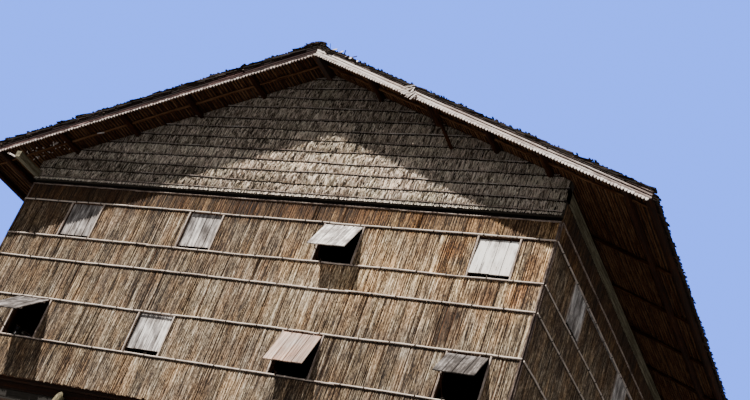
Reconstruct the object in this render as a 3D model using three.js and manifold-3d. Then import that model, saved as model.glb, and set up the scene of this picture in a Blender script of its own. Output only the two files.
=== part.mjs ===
// A two-storey longhouse on tall round posts, with slatted walls, thatched gables and a thatched roof.
// Millimetres. X runs along the gable front, Y into the house, Z up. The origin is on the ground,
// under the ridge and halfway along the house.
import * as THREE from "three";
import { mergeVertices } from "three/addons/utils/BufferGeometryUtils.js";
import Module from "manifold-3d";

const wasm = await Module();
wasm.setup();

// Plan
const BAY = 3200;
const BAYS = 6;
const HALF_LENGTH = (BAY * BAYS) / 2;
const WALL_LEFT = -5920;
const WALL_RIGHT = 5280;
const WALL = 100;
const GAP = 0.3;

// Heights above the ground
const GROUND = 0;
const FLOOR = 7200;
const UPPER_FLOOR = 9629;
const WALL_TOP = 11340;
const LEFT_PLATE = 11400;
const RIGHT_PLATE = 11660;

// Posts and the beams on them
const POST_ROWS = [-9530, -6400, -3200, 0, 3200, 6400, 9530];
const POST_LINES = [-5640, -2862, 0, 2862, 5000];
const POST_FOOT_RADIUS = 125;
const POST_HEAD_RADIUS = 105;
const CAP_TOP = 7000;
const CAP_DEPTH = 160;
const CAP_WIDTH = 140;
const OUTER_POST_TOP = 7090;
const EDGE_BEAM_FACE = 9470;
const EDGE_BEAM_WIDTH = 120;

// Floors
const LOWER_BOARDS = 60;
const LOWER_SET_BACK = 40;
const UPPER_BOARDS = 60;
const UPPER_LET_IN = 50;
const JOIST = 80;
const JOIST_DEPTH = 140;

// Roof: the lower edge of the verge boards is RIDGE - SLOPE * |x|, and all else is measured up from it
const RIDGE = 14016;
const SLOPE = 0.402;
const EAVE = 6880;
const THATCH_EAVE = 6920;
const VERGE = 10420;
const BOARD = 40;
const BOARD_HEIGHT = 200;
const FRAME_LOW = 20;
const FRAME_HIGH = 160;
const THATCH = 160;
const THATCH_END = 10440;
const CAP_END = 10460;
const CAP_REACH = 380;
const CAP_THATCH = 60;
const LEFT_PURLINS = [1280, 2560, 3840, 5120, 6400, 6810];
const RIGHT_PURLINS = [1280, 2560, 3840, 4900, 6400, 6810];
const RAFTER = 80;
const RIDGE_BEAM = 50;
const PLATE = 120;
const PLATE_PAST_WALL = 60;
const LEFT_PLATE_TAIL = 130;

// Gables
const GABLE_PROUD = 160;

// Battens and the strips beside the windows, heights above the lower floor
const LOWER_SILL = 768;
const LOWER_HEAD = 1596;
const MIDDLE_BATTEN = 2419;
const UPPER_SILL = 2924;
const UPPER_HEAD = 3716;
const LEDGE = 4083;
const BATTEN = 36;
const STRIP = 30;

// Windows and shutters: a closed shutter lies inside its hole, an open one hangs in front of it
const WINDOW_PITCH = 2862;
const HALF_WINDOW = 372;
const SHUTTER_PLAY = 4;
const SHUTTER_THICK = 24;
const SHUTTER_LENGTH = 700;
const CLOSED_DEPTH = 17;
const OPEN_STAND = 26;
const HANGING_RAIL = 30;
const GROOVE = 6;

// The front windows differ a little: centre, half width, shutter length and opening angle of each
const FRONT_WINDOWS = {
  upper: [
    [-4276, 374, SHUTTER_LENGTH, 0],
    [-1456, 360, SHUTTER_LENGTH, 0],
    [1449, 376, 715, 29.5],
    [4330, 358, SHUTTER_LENGTH, 0],
  ],
  lower: [
    [-4402, 383, 900, 50],
    [-1560, 372, SHUTTER_LENGTH, 0],
    [1452, 374, 735, 23.5],
    [4419, 354, 600, 35.5],
  ],
};
const REAR_WINDOWS = [-1.5, -0.5, 0.5, 1.5].map((k) => [k * WINDOW_PITCH, HALF_WINDOW]);
const SIDE_WINDOWS = [-2.5, -1.5, -0.5, 0.5, 1.5, 2.5].map((k) => [k * BAY, HALF_WINDOW]);
const ROWS = [
  { name: "upper", sill: FLOOR + UPPER_SILL, head: FLOOR + UPPER_HEAD },
  { name: "lower", sill: FLOOR + LOWER_SILL, head: FLOOR + LOWER_HEAD },
];

// Colour and roughness of each kind of surface
const LOOK = {
  slats: [0x8a7560, 0.95],
  batten: [0xb8aca0, 0.85],
  gable: [0x6f6459, 1.0],
  thatch: [0x4a4038, 1.0],
  verge: [0x9c9088, 0.9],
  frame: [0x3f2d20, 0.9],
  shutter: [0x8f8a85, 0.9],
  post: [0x6a5a48, 0.9],
  floor: [0x4a3626, 0.9],
};

const group = new THREE.Group();
group.name = "longhouse";

function solid(geometry) {
  geometry.deleteAttribute("normal");
  geometry.deleteAttribute("uv");
  const merged = mergeVertices(geometry, 1e-3);
  const data = {
    numProp: 3,
    vertProperties: merged.attributes.position.array,
    triVerts: new Uint32Array(merged.index.array),
  };
  return new wasm.Manifold(new wasm.Mesh(data));
}

function box(x0, x1, y0, y1, z0, z1) {
  const geometry = new THREE.BoxGeometry(x1 - x0, y1 - y0, z1 - z0);
  geometry.translate((x0 + x1) / 2, (y0 + y1) / 2, (z0 + z1) / 2);
  return solid(geometry);
}

// A profile in X and Z, drawn out from y0 to y1
function prism(points, y0, y1) {
  const shape = new THREE.Shape(points.map(([x, z]) => new THREE.Vector2(x, z)));
  const geometry = new THREE.ExtrudeGeometry(shape, { depth: y1 - y0, bevelEnabled: false });
  geometry.rotateX(Math.PI / 2);
  geometry.translate(0, y1, 0);
  return solid(geometry);
}

function post(x, y, top) {
  const height = top - GROUND;
  const geometry = new THREE.CylinderGeometry(POST_HEAD_RADIUS, POST_FOOT_RADIUS, height, 16);
  geometry.rotateX(Math.PI / 2);
  geometry.translate(x, y, GROUND + height / 2);
  return solid(geometry);
}

function join(bodies) {
  let whole = bodies[0];
  for (const body of bodies.slice(1)) whole = whole.add(body);
  return whole;
}

function place(name, body, look, turn = 0) {
  const data = body.getMesh();
  const geometry = new THREE.BufferGeometry();
  geometry.setAttribute("position", new THREE.BufferAttribute(new Float32Array(data.vertProperties), 3));
  geometry.setIndex(new THREE.BufferAttribute(new Uint32Array(data.triVerts), 1));
  geometry.rotateZ(turn);
  geometry.computeVertexNormals();
  const [color, roughness] = LOOK[look];
  const mesh = new THREE.Mesh(geometry, new THREE.MeshStandardMaterial({ color, roughness, metalness: 0 }));
  mesh.name = name;
  group.add(mesh);
}

const rake = (x) => RIDGE - SLOPE * Math.abs(x);

// A piece of one roof slope between two distances from the ridge and two heights above the rake
function slopePiece(side, near, far, low, high, y0, y1) {
  const points = [
    [side * near, rake(near) + low],
    [side * far, rake(far) + low],
    [side * far, rake(far) + high],
    [side * near, rake(near) + high],
  ];
  return prism(points, y0, y1);
}

// Posts, each row joined by the beam on it
function innerPostRow(y) {
  const posts = POST_LINES.map((x) => post(x, y, CAP_TOP - GAP));
  const half = CAP_WIDTH / 2;
  const cap = box(WALL_LEFT + 60, WALL_RIGHT - 60, y - half, y + half, CAP_TOP - CAP_DEPTH, CAP_TOP - GAP);
  return join([cap, ...posts]);
}

// The end rows stand outside the edge beam, which lies in a notch in each post head
function outerPostRow(y) {
  const inward = -Math.sign(y);
  const face = -inward * EDGE_BEAM_FACE;
  const back = face + inward * EDGE_BEAM_WIDTH;
  const [y0, y1] = [Math.min(face, back), Math.max(face, back)];
  const posts = POST_LINES.map((x) => post(x, y, OUTER_POST_TOP));
  const cap = box(WALL_LEFT + 60, WALL_RIGHT - 60, y0, y1, CAP_TOP - CAP_DEPTH, CAP_TOP - GAP);
  const notch = box(WALL_LEFT, WALL_RIGHT, y0 - GAP, y1 + GAP, CAP_TOP - GAP, FLOOR);
  return join([cap, ...posts]).subtract(notch);
}

function postFrames() {
  POST_ROWS.forEach((y, i) => {
    const outer = i === 0 || i === POST_ROWS.length - 1;
    place("post_frame_" + (i + 1), outer ? outerPostRow(y) : innerPostRow(y), "post");
  });
}

// Lower platform: boards on joists that run the length of the house, with an edge beam at each end
function lowerFloor() {
  const [left, right] = [WALL_LEFT + LOWER_SET_BACK, WALL_RIGHT - LOWER_SET_BACK];
  const end = HALF_LENGTH - LOWER_SET_BACK;
  const under = FLOOR - LOWER_BOARDS;
  const pieces = [box(left, right, -end, end, under, FLOOR)];
  for (const sign of [-1, 1]) {
    const [a, b] = [sign * EDGE_BEAM_FACE, sign * (EDGE_BEAM_FACE - EDGE_BEAM_WIDTH)];
    pieces.push(box(left + 5, right - 5, Math.min(a, b), Math.max(a, b), CAP_TOP, under + 1));
  }
  const span = right - left - 2 * 60;
  const count = 7;
  for (let i = 0; i < count; i += 1) {
    const x = left + 60 + (span * i) / (count - 1);
    const reach = EDGE_BEAM_FACE - EDGE_BEAM_WIDTH / 2;
    pieces.push(box(x - JOIST / 2, x + JOIST / 2, -reach, reach, CAP_TOP, under + 1));
  }
  place("lower_floor", join(pieces), "floor");
}

function upperBoards(clearance) {
  const [left, right] = [WALL_LEFT + UPPER_LET_IN, WALL_RIGHT - UPPER_LET_IN];
  const end = HALF_LENGTH - UPPER_LET_IN;
  const c = clearance;
  return box(left - c, right + c, -end - c, end + c, UPPER_FLOOR - UPPER_BOARDS - c, UPPER_FLOOR + c);
}

// Upper floor: boards let into the walls, on joists across the house
function upperFloor() {
  const pieces = [upperBoards(0)];
  const under = UPPER_FLOOR - UPPER_BOARDS;
  const [left, right] = [WALL_LEFT + WALL + GAP, WALL_RIGHT - WALL - GAP];
  for (let i = -5; i <= 5; i += 1) {
    const y = (i * BAY) / 2;
    pieces.push(box(left, right, y - JOIST / 2, y + JOIST / 2, under - JOIST_DEPTH, under + 1));
  }
  place("upper_floor", join(pieces), "floor");
}

function ridgeBeam(clearance) {
  const half = RIDGE_BEAM + clearance;
  const low = RIDGE - 20 - clearance;
  const top = FRAME_HIGH - GAP;
  const points = [
    [-half, low],
    [half, low],
    [half, rake(half) + top],
    [0, RIDGE + top],
    [-half, rake(half) + top],
  ];
  const end = VERGE - BOARD - GAP + clearance;
  return prism(points, -end, end);
}

function purlins(side, clearance) {
  const end = VERGE - BOARD - GAP + clearance;
  const half = RAFTER / 2 + clearance;
  const [low, high] = [FRAME_LOW - clearance * 1.1, FRAME_HIGH - GAP + clearance];
  const lines = side < 0 ? LEFT_PURLINS : RIGHT_PURLINS;
  return lines.map((x) => slopePiece(side, x - half, x + half, low, high, -end, end));
}

// The beam along the top of a side wall, sloped on top to seat the rafters. The left one runs on
// through the gables as a smaller beam, up to the verge boards
function wallPlate(side, clearance) {
  const outer = side < 0 ? -WALL_LEFT : WALL_RIGHT;
  const bottom = (side < 0 ? LEFT_PLATE : RIGHT_PLATE) + GAP - clearance;
  const [near, far] = [outer - PLATE - clearance, outer + clearance];
  const top = FRAME_LOW - GAP + clearance;
  const points = [
    [side * near, bottom],
    [side * far, bottom],
    [side * far, rake(far) + top],
    [side * near, rake(near) + top],
  ];
  const end = HALF_LENGTH + PLATE_PAST_WALL + clearance;
  const plate = prism(points, -end, end);
  if (side > 0) return plate;
  const reach = VERGE - BOARD - GAP + clearance;
  return plate.add(box(-far, -near, -reach, reach, bottom, LEFT_PLATE + LEFT_PLATE_TAIL + clearance));
}

// One slope of the roof frame: rafters and purlins fixed together in one plane
function roofLattice(side) {
  const pieces = purlins(side, 0);
  const rafterLines = [-10000, 10000];
  for (let i = -5; i <= 5; i += 1) rafterLines.push((i * BAY) / 2);
  const [near, far] = [RIDGE_BEAM + GAP, EAVE - 30];
  for (const y of rafterLines) {
    const [y0, y1] = [y - RAFTER / 2, y + RAFTER / 2];
    pieces.push(slopePiece(side, near, far, FRAME_LOW, FRAME_HIGH - GAP, y0, y1));
  }
  return join(pieces);
}

// Thatch of one slope, notched over the verge boards at each end
function roofThatch(side) {
  const high = FRAME_HIGH + THATCH;
  const whole = slopePiece(side, GAP / 2, THATCH_EAVE, FRAME_HIGH, high, -THATCH_END, THATCH_END);
  const inner = VERGE - BOARD - GAP;
  const low = BOARD_HEIGHT + GAP;
  const front = slopePiece(side, 0, THATCH_EAVE + 10, 0, low, -THATCH_END - 10, -inner);
  const rear = slopePiece(side, 0, THATCH_EAVE + 10, 0, low, inner, THATCH_END + 10);
  return whole.subtract(front).subtract(rear);
}

function ridgeCap() {
  const low = FRAME_HIGH + THATCH + GAP;
  const high = low + CAP_THATCH;
  const foot = rake(CAP_REACH);
  const points = [
    [-CAP_REACH, foot + low],
    [0, RIDGE + low],
    [CAP_REACH, foot + low],
    [CAP_REACH, foot + high],
    [0, RIDGE + high],
    [-CAP_REACH, foot + high],
  ];
  place("ridge_cap", prism(points, -CAP_END, CAP_END), "thatch");
}

function roof() {
  place("ridge_beam", ridgeBeam(0), "frame");
  for (const [side, name] of [[-1, "left"], [1, "right"]]) {
    place(name + "_wall_plate", wallPlate(side, 0), "frame");
    place(name + "_roof_lattice", roofLattice(side), "frame");
    place(name + "_roof_thatch", roofThatch(side), "thatch");
    const front = slopePiece(side, GAP / 2, EAVE, 0, BOARD_HEIGHT, -VERGE, -VERGE + BOARD);
    const rear = slopePiece(side, GAP / 2, EAVE, 0, BOARD_HEIGHT, VERGE - BOARD, VERGE);
    place("front_" + name + "_bargeboard", front, "verge");
    place("rear_" + name + "_bargeboard", rear, "verge");
  }
  ridgeCap();
}

// Thatched gable, standing proud of the wall below and cut round the members that pass through it
function gable(front) {
  const top = FRAME_HIGH - GAP;
  const points = [
    [WALL_LEFT, WALL_TOP + GAP],
    [WALL_RIGHT, WALL_TOP + GAP],
    [WALL_RIGHT, rake(WALL_RIGHT) + top],
    [0, RIDGE + top],
    [WALL_LEFT, rake(WALL_LEFT) + top],
  ];
  const [outer, inner] = [HALF_LENGTH + GABLE_PROUD, HALF_LENGTH - WALL];
  let body = front ? prism(points, -outer, -inner) : prism(points, inner, outer);
  for (const side of [-1, 1]) {
    for (const purlin of purlins(side, GAP)) body = body.subtract(purlin);
    body = body.subtract(wallPlate(side, GAP));
  }
  return body.subtract(ridgeBeam(GAP));
}

// Window holes of one storey, in a wall whose outer face looks along -Y
function cutWindows(wall, face, row, windows) {
  const [z0, z1] = [row.sill + BATTEN / 2, row.head - BATTEN / 2];
  let body = wall;
  for (const [u, half] of windows) {
    body = body.subtract(box(u - half, u + half, face - 10, face + WALL + 10, z0, z1));
  }
  return body;
}

// The four sides, each drawn looking along -Y from the middle of the house and then turned to its place
const SIDES = [
  { name: "front", turn: 0, face: -HALF_LENGTH, from: WALL_LEFT, to: WALL_RIGHT, top: WALL_TOP },
  { name: "rear", turn: Math.PI, face: -HALF_LENGTH, from: -WALL_RIGHT, to: -WALL_LEFT, top: WALL_TOP },
  { name: "left", turn: -Math.PI / 2, face: WALL_LEFT, top: LEFT_PLATE },
  { name: "right", turn: Math.PI / 2, face: -WALL_RIGHT, top: RIGHT_PLATE },
];
const isEnd = (side) => side.name === "front" || side.name === "rear";

function windowsOf(side, row) {
  if (side.name === "front") return FRONT_WINDOWS[row.name];
  return side.name === "rear" ? REAR_WINDOWS : SIDE_WINDOWS;
}

function wallStorey(side, row) {
  const inset = WALL + GAP;
  const from = isEnd(side) ? side.from : -HALF_LENGTH + inset;
  const to = isEnd(side) ? side.to : HALF_LENGTH - inset;
  const upper = row.name === "upper";
  const [z0, z1] = upper ? [UPPER_FLOOR, side.top] : [FLOOR + GAP, UPPER_FLOOR - GAP];
  const wall = box(from, to, side.face, side.face + WALL, z0, z1);
  return cutWindows(wall, side.face, row, windowsOf(side, row));
}

// The upper floor lies in the house frame, so a wall is turned before the floor's edge is cut from it
function walls() {
  for (const side of SIDES) {
    for (const row of ROWS) {
      const turned = wallStorey(side, row).rotate([0, 0, THREE.MathUtils.radToDeg(side.turn)]);
      place(side.name + "_" + row.name + "_wall", turned.subtract(upperBoards(GAP)), "slats");
    }
  }
  place("front_gable", gable(true), "gable");
  place("rear_gable", gable(false), "gable");
}

// Battens across a side, its corner strips and the strips beside each window
function battens(side) {
  const from = isEnd(side) ? side.from : -HALF_LENGTH;
  const to = isEnd(side) ? side.to : HALF_LENGTH;
  const [y0, y1] = [side.face - BATTEN, side.face - GAP];
  const half = BATTEN / 2;
  const lines = [LOWER_SILL, LOWER_HEAD, MIDDLE_BATTEN, UPPER_SILL, UPPER_HEAD, LEDGE];
  const pieces = lines.map((z) => box(from, to, y0, y1, FLOOR + z - half, FLOOR + z + half));
  for (const u of [from, to - STRIP]) {
    pieces.push(box(u, u + STRIP, y0, y1, FLOOR + 30, FLOOR + LEDGE));
  }
  for (const row of ROWS) {
    const top = side.name === "front" ? row.head : row.head - half - 2 * GAP - HANGING_RAIL;
    for (const [u, opening] of windowsOf(side, row)) {
      for (const start of [u - opening - STRIP, u + opening]) {
        pieces.push(box(start, start + STRIP, y0, y1, row.sill, top));
      }
    }
  }
  return join(pieces);
}

// A shutter of four planks, drawn hanging from z = 0 with its outer face at y = 0
function shutter(opening, length) {
  const half = opening - SHUTTER_PLAY;
  let body = box(-half, half, 0, SHUTTER_THICK, -length, 0);
  for (const k of [-1, 0, 1]) {
    const x = (k * half) / 2;
    for (const y of [0, SHUTTER_THICK]) {
      const groove = box(x - GROOVE / 2, x + GROOVE / 2, y - 5, y + 5, -length - 1, 1);
      body = body.subtract(groove);
    }
  }
  return body;
}

// The front shutters hang one by one, pushed open from the foot by different amounts
function frontShutters() {
  for (const row of ROWS) {
    FRONT_WINDOWS[row.name].forEach(([x, opening, length, degrees], i) => {
      const y = -HALF_LENGTH + (degrees ? -OPEN_STAND : CLOSED_DEPTH);
      const z = row.head - BATTEN / 2 - GAP;
      const body = shutter(opening, length).rotate([-degrees, 0, 0]).translate([x, y, z]);
      place("front_" + row.name + "_shutter_" + (i + 1), body, "shutter");
    });
  }
}

// Elsewhere a row of closed shutters hangs on one rail
function shutterRow(side, row) {
  const centres = windowsOf(side, row).map(([u]) => u);
  const y = side.face - GAP - SHUTTER_THICK;
  const top = row.head - BATTEN / 2 - GAP;
  const [from, to] = [centres[0] - HALF_WINDOW, centres[centres.length - 1] + HALF_WINDOW];
  const pieces = [box(from, to, side.face - BATTEN, side.face - GAP, top - HANGING_RAIL, top)];
  for (const u of centres) pieces.push(shutter(HALF_WINDOW, SHUTTER_LENGTH).translate([u, y, top]));
  return join(pieces);
}

function trim() {
  for (const side of SIDES) {
    place(side.name + "_battens", battens(side), "batten", side.turn);
    if (side.name === "front") continue;
    for (const row of ROWS) {
      place(side.name + "_" + row.name + "_shutters", shutterRow(side, row), "shutter", side.turn);
    }
  }
}

postFrames();
lowerFloor();
upperFloor();
walls();
trim();
frontShutters();
roof();

export default group;
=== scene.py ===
import math
from itertools import pairwise

import bpy
import numpy as np
from mathutils import Matrix


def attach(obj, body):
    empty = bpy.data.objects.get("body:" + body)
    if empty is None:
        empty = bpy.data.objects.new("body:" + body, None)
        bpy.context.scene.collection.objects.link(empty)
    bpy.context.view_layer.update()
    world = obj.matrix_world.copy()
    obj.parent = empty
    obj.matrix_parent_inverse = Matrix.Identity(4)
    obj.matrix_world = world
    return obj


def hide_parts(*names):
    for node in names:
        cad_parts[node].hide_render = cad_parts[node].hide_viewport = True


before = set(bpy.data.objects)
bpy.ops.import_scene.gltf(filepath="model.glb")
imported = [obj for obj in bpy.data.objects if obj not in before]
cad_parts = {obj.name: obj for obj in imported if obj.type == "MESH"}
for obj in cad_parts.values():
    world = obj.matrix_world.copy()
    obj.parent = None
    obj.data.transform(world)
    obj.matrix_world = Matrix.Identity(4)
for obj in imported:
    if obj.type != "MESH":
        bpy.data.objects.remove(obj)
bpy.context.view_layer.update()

# Sizes of the house, in metres, as in the solid model
WALL_LEFT, WALL_RIGHT = -5.92, 5.28
HALF_LENGTH = 9.6
FLOOR, WALL_TOP, LEFT_PLATE, RIGHT_PLATE = 7.2, 11.34, 11.4, 11.66
RIDGE, SLOPE = 14.016, 0.402
EAVE, THATCH_EAVE, VERGE = 6.88, 6.92, 10.42
POST_ROWS = [-9.53, -6.4, -3.2, 0.0, 3.2, 6.4, 9.53]
POST_LINES = [-5.64, -2.862, 0.0, 2.862, 5.0]
END_BEAM = 9.41
RAFTERS = [-10.0, -8.0, -6.4, -4.8, -3.2, -1.6, 0.0, 1.6, 3.2, 4.8, 6.4, 8.0, 10.0]
PURLINS = {-1: [1.28, 2.56, 3.84, 5.12, 6.4, 6.81], 1: [1.28, 2.56, 3.84, 4.9, 6.4, 6.81]}
# Heights over the rake of what lies on a slope, and of the leaves at their root and tip
PURLIN_RISE, RAFTER_RISE, LATH_RISE = 0.082, 0.112, 0.152
BACKING_RISE = (0.205, 0.225)
ROOT_RISE, TIP_RISE, PAD_RISE = 0.248, 0.276, 0.262
LEAF_COURSE, LEAF_PITCH, BACKING_LENGTH = 0.2, 0.066, 0.3
# Middle heights of the cap beams, the joists, the floor's end beams and its boards, and the posts' foot and head
CAP_BEAM, JOISTS, END_JOISTS, BOARDS = 6.9195, 7.0695, 7.07, 7.17
POST_FOOT, POST_HEAD = 0.002, 6.998
BATTENS = [0.768, 1.596, 2.419, 2.924, 3.716]
LEDGE = 4.083
HALF_WINDOW, WINDOW_PITCH, BAY = 0.372, 2.862, 3.2
SHUTTER_LENGTH, HINGE_DROP = 0.7, 0.0183
# How far things stand off a wall: the poles' backs, the middles of the ledge, corners and strips, and the lashings
POLE_OFF, LEDGE_OFF, CORNER_OFF, STRIP_OFF, LASHING_OFF = 0.0115, 0.018, 0.014, 0.016, 0.028
ROWS = {"upper": (FLOOR + BATTENS[3], FLOOR + BATTENS[4]), "lower": (FLOOR + BATTENS[0], FLOOR + BATTENS[1])}

# Front windows: centre, half width, shutter length, opening in degrees
FRONT_WINDOWS = {
    "upper": [(-4.276, 0.374, 0.7, 0), (-1.456, 0.36, 0.7, 0), (1.449, 0.376, 0.715, 29.5), (4.33, 0.358, 0.7, 0)],
    "lower": [(-4.402, 0.383, 0.9, 50), (-1.56, 0.372, 0.7, 0), (1.452, 0.374, 0.735, 23.5),
              (4.419, 0.354, 0.6, 35.5)],
}
REAR_WINDOWS = [(k * WINDOW_PITCH, HALF_WINDOW, SHUTTER_LENGTH, 0) for k in (-1.5, -0.5, 0.5, 1.5)]
SIDE_WINDOWS = [(k * BAY, HALF_WINDOW, SHUTTER_LENGTH, 0) for k in (-2.5, -1.5, -0.5, 0.5, 1.5, 2.5)]

# Each side is drawn looking along +Y, with its face towards -Y, and then turned: turn, face, from, to, top
SIDES = {
    "front": (0.0, -HALF_LENGTH, WALL_LEFT, WALL_RIGHT, WALL_TOP),
    "rear": (math.pi, -HALF_LENGTH, -WALL_RIGHT, -WALL_LEFT, WALL_TOP),
    "left": (-math.pi / 2, WALL_LEFT, -HALF_LENGTH, HALF_LENGTH, LEFT_PLATE),
    "right": (math.pi / 2, -WALL_RIGHT, -HALF_LENGTH, HALF_LENGTH, RIGHT_PLATE),
}
OUT, SKYWARD = (0.0, -1.0, 0.0), (0.0, 0.0, 1.0)


def windows_of(side, row):
    """Centre, half width, shutter length and opening of each window."""
    if side == "front":
        return FRONT_WINDOWS[row]
    return REAR_WINDOWS if side == "rear" else SIDE_WINDOWS


def rake(x):
    """Height of the roof's plane, on which the rafters, leaves and boards build up."""
    return RIDGE - SLOPE * np.abs(x)


# ---- camera and light

# The camera fitted to the photo: its place and its axes
CAMERA_PLACE = (11.99170183, -25.63702506, 1.29483973)
CAMERA_RIGHT = (0.8794871241, 0.3601166633, 0.3111565318)
CAMERA_DOWN = (0.0617358372, 0.5619472709, -0.8248660201)
CAMERA_AHEAD = (-0.4719015627, 0.7446685528, 0.4719932855)
LENS, SENSOR, CLIP_END = 59.75707, 36, 300
SUN_STRENGTH, SUN_DEGREES = 11.5, 0.7
SUN_COLOUR, SUN_WAY = (1.0, 0.945, 0.875), (0.866, 1.0, -1.79)
# Colour and strength of the sky that the camera sees, and of the one that lights
BACKDROP, SKYLIGHT = ((0.22, 0.56, 2.75, 1), 1.0), ((0.62, 0.6, 0.6, 1), 0.42)


def placed(name, data):
    made = bpy.data.objects.new(name, data)
    bpy.context.scene.collection.objects.link(made)
    return made


def pose(right, up, back, place=(0, 0, 0)):
    """The matrix with these axes, at this place."""
    return Matrix([(*right, 0), (*up, 0), (*back, 0), (*place, 1)]).transposed()


def camera():
    data = bpy.data.cameras.new("camera")
    data.lens, data.sensor_width, data.clip_end = LENS, SENSOR, CLIP_END
    made = placed("camera", data)
    made.matrix_world = pose(CAMERA_RIGHT, [-v for v in CAMERA_DOWN], [-v for v in CAMERA_AHEAD], CAMERA_PLACE)
    bpy.context.scene.camera = made


def light():
    """A sun from the left of the front, a sky that lights the house, and a blue one that only the camera sees."""
    sun = bpy.data.lights.new("sun", "SUN")
    sun.energy, sun.angle, sun.color = SUN_STRENGTH, math.radians(SUN_DEGREES), SUN_COLOUR
    back = -unit(np.array(SUN_WAY))
    right = unit(np.cross(SKYWARD, back))
    placed("sun", sun).matrix_world = pose(right, np.cross(back, right), back)
    world = bpy.data.worlds.new("sky")
    world.use_nodes = True
    tree = world.node_tree
    seen = tree.nodes.new("ShaderNodeLightPath")
    either = tree.nodes.new("ShaderNodeMixShader")
    tree.links.new(seen.outputs["Is Camera Ray"], either.inputs[0])
    for i, (colour, strength) in enumerate((SKYLIGHT, BACKDROP)):
        sky = tree.nodes.new("ShaderNodeBackground")
        sky.inputs["Color"].default_value = colour
        sky.inputs["Strength"].default_value = strength
        tree.links.new(sky.outputs[0], either.inputs[i + 1])
    tree.links.new(either.outputs[0], tree.nodes["World Output"].inputs["Surface"])
    bpy.context.scene.world = world


# ---- mesh code


def unit(v):
    return v / np.linalg.norm(v, axis=-1, keepdims=True)


def outline(*corners):
    """Corners, each two numbers or arrays, as one array (..., corner, 2), anticlockwise seen from the line's end."""
    spread = np.broadcast_arrays(*[value for corner in corners for value in corner])
    return np.stack(spread, -1).reshape(*spread[0].shape, len(corners), 2)


def flat(width, thick):
    half = width / 2
    return outline((-half, 0.0), (half, 0.0), (half, thick), (-half, thick))


def leaf(width, ridge=0.0085, peak=0.0):
    """Three corners: a leaf's edges and the ridge along it."""
    return outline((-width / 2, 0.0), (width / 2, 0.0), (peak, ridge))


def bevelled(width, depth, bevel):
    w, d, b = width / 2, depth / 2, bevel
    return outline((-w + b, -d), (w - b, -d), (w, -d + b), (w, d - b),
                   (w - b, d), (-w + b, d), (-w, d - b), (-w, -d + b))


def ring(radius, sides):
    angles = np.arange(sides) * 2 * math.pi / sides - math.pi / 2 + math.pi / sides
    circle = np.stack([np.cos(angles), np.sin(angles)], -1)
    return np.asarray(radius)[..., None, None] * circle


def spots(x, y, z):
    """Points (n, 3) from three numbers or arrays."""
    return np.stack(np.broadcast_arrays(*[np.atleast_1d(np.asarray(v, float)) for v in (x, y, z)]), -1)


def span(a, b, shares=2):
    """Straight lines between points, each (x, y, z) or (n, 3), with so many points on each, or at these shares."""
    a, b = np.broadcast_arrays(*[spots(*p) if isinstance(p, tuple) else p for p in (a, b)])
    t = (np.linspace(0, 1, shares) if isinstance(shares, int) else np.asarray(shares))[None, :, None]
    return a[:, None] * (1 - t) + b[:, None] * t


def fill(rng, start, end, mean, spread):
    """Edges of uneven strips that fill start to end."""
    count = max(1, round((end - start) / mean))
    widths = rng.uniform(1 - spread, 1 + spread, count)
    return start + np.r_[0, np.cumsum(widths)] * (end - start) / widths.sum()


def spaced(rng, start, end, step, shift):
    """Places at even steps, each shifted a little."""
    places = np.arange(start, end, step)
    return places + rng.uniform(-shift, shift, len(places))


def within(value, limit):
    return np.clip(value, -limit, limit)


def waver(rng, line, axis, size):
    """Lets lines drift slowly along one axis."""
    drift = np.cumsum(rng.normal(0, 1, line.shape[:2]), axis=1)
    drift -= drift.mean(axis=1, keepdims=True)
    line[..., axis] += size * drift / (np.abs(drift).max(axis=1, keepdims=True) + 1e-9)


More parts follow.
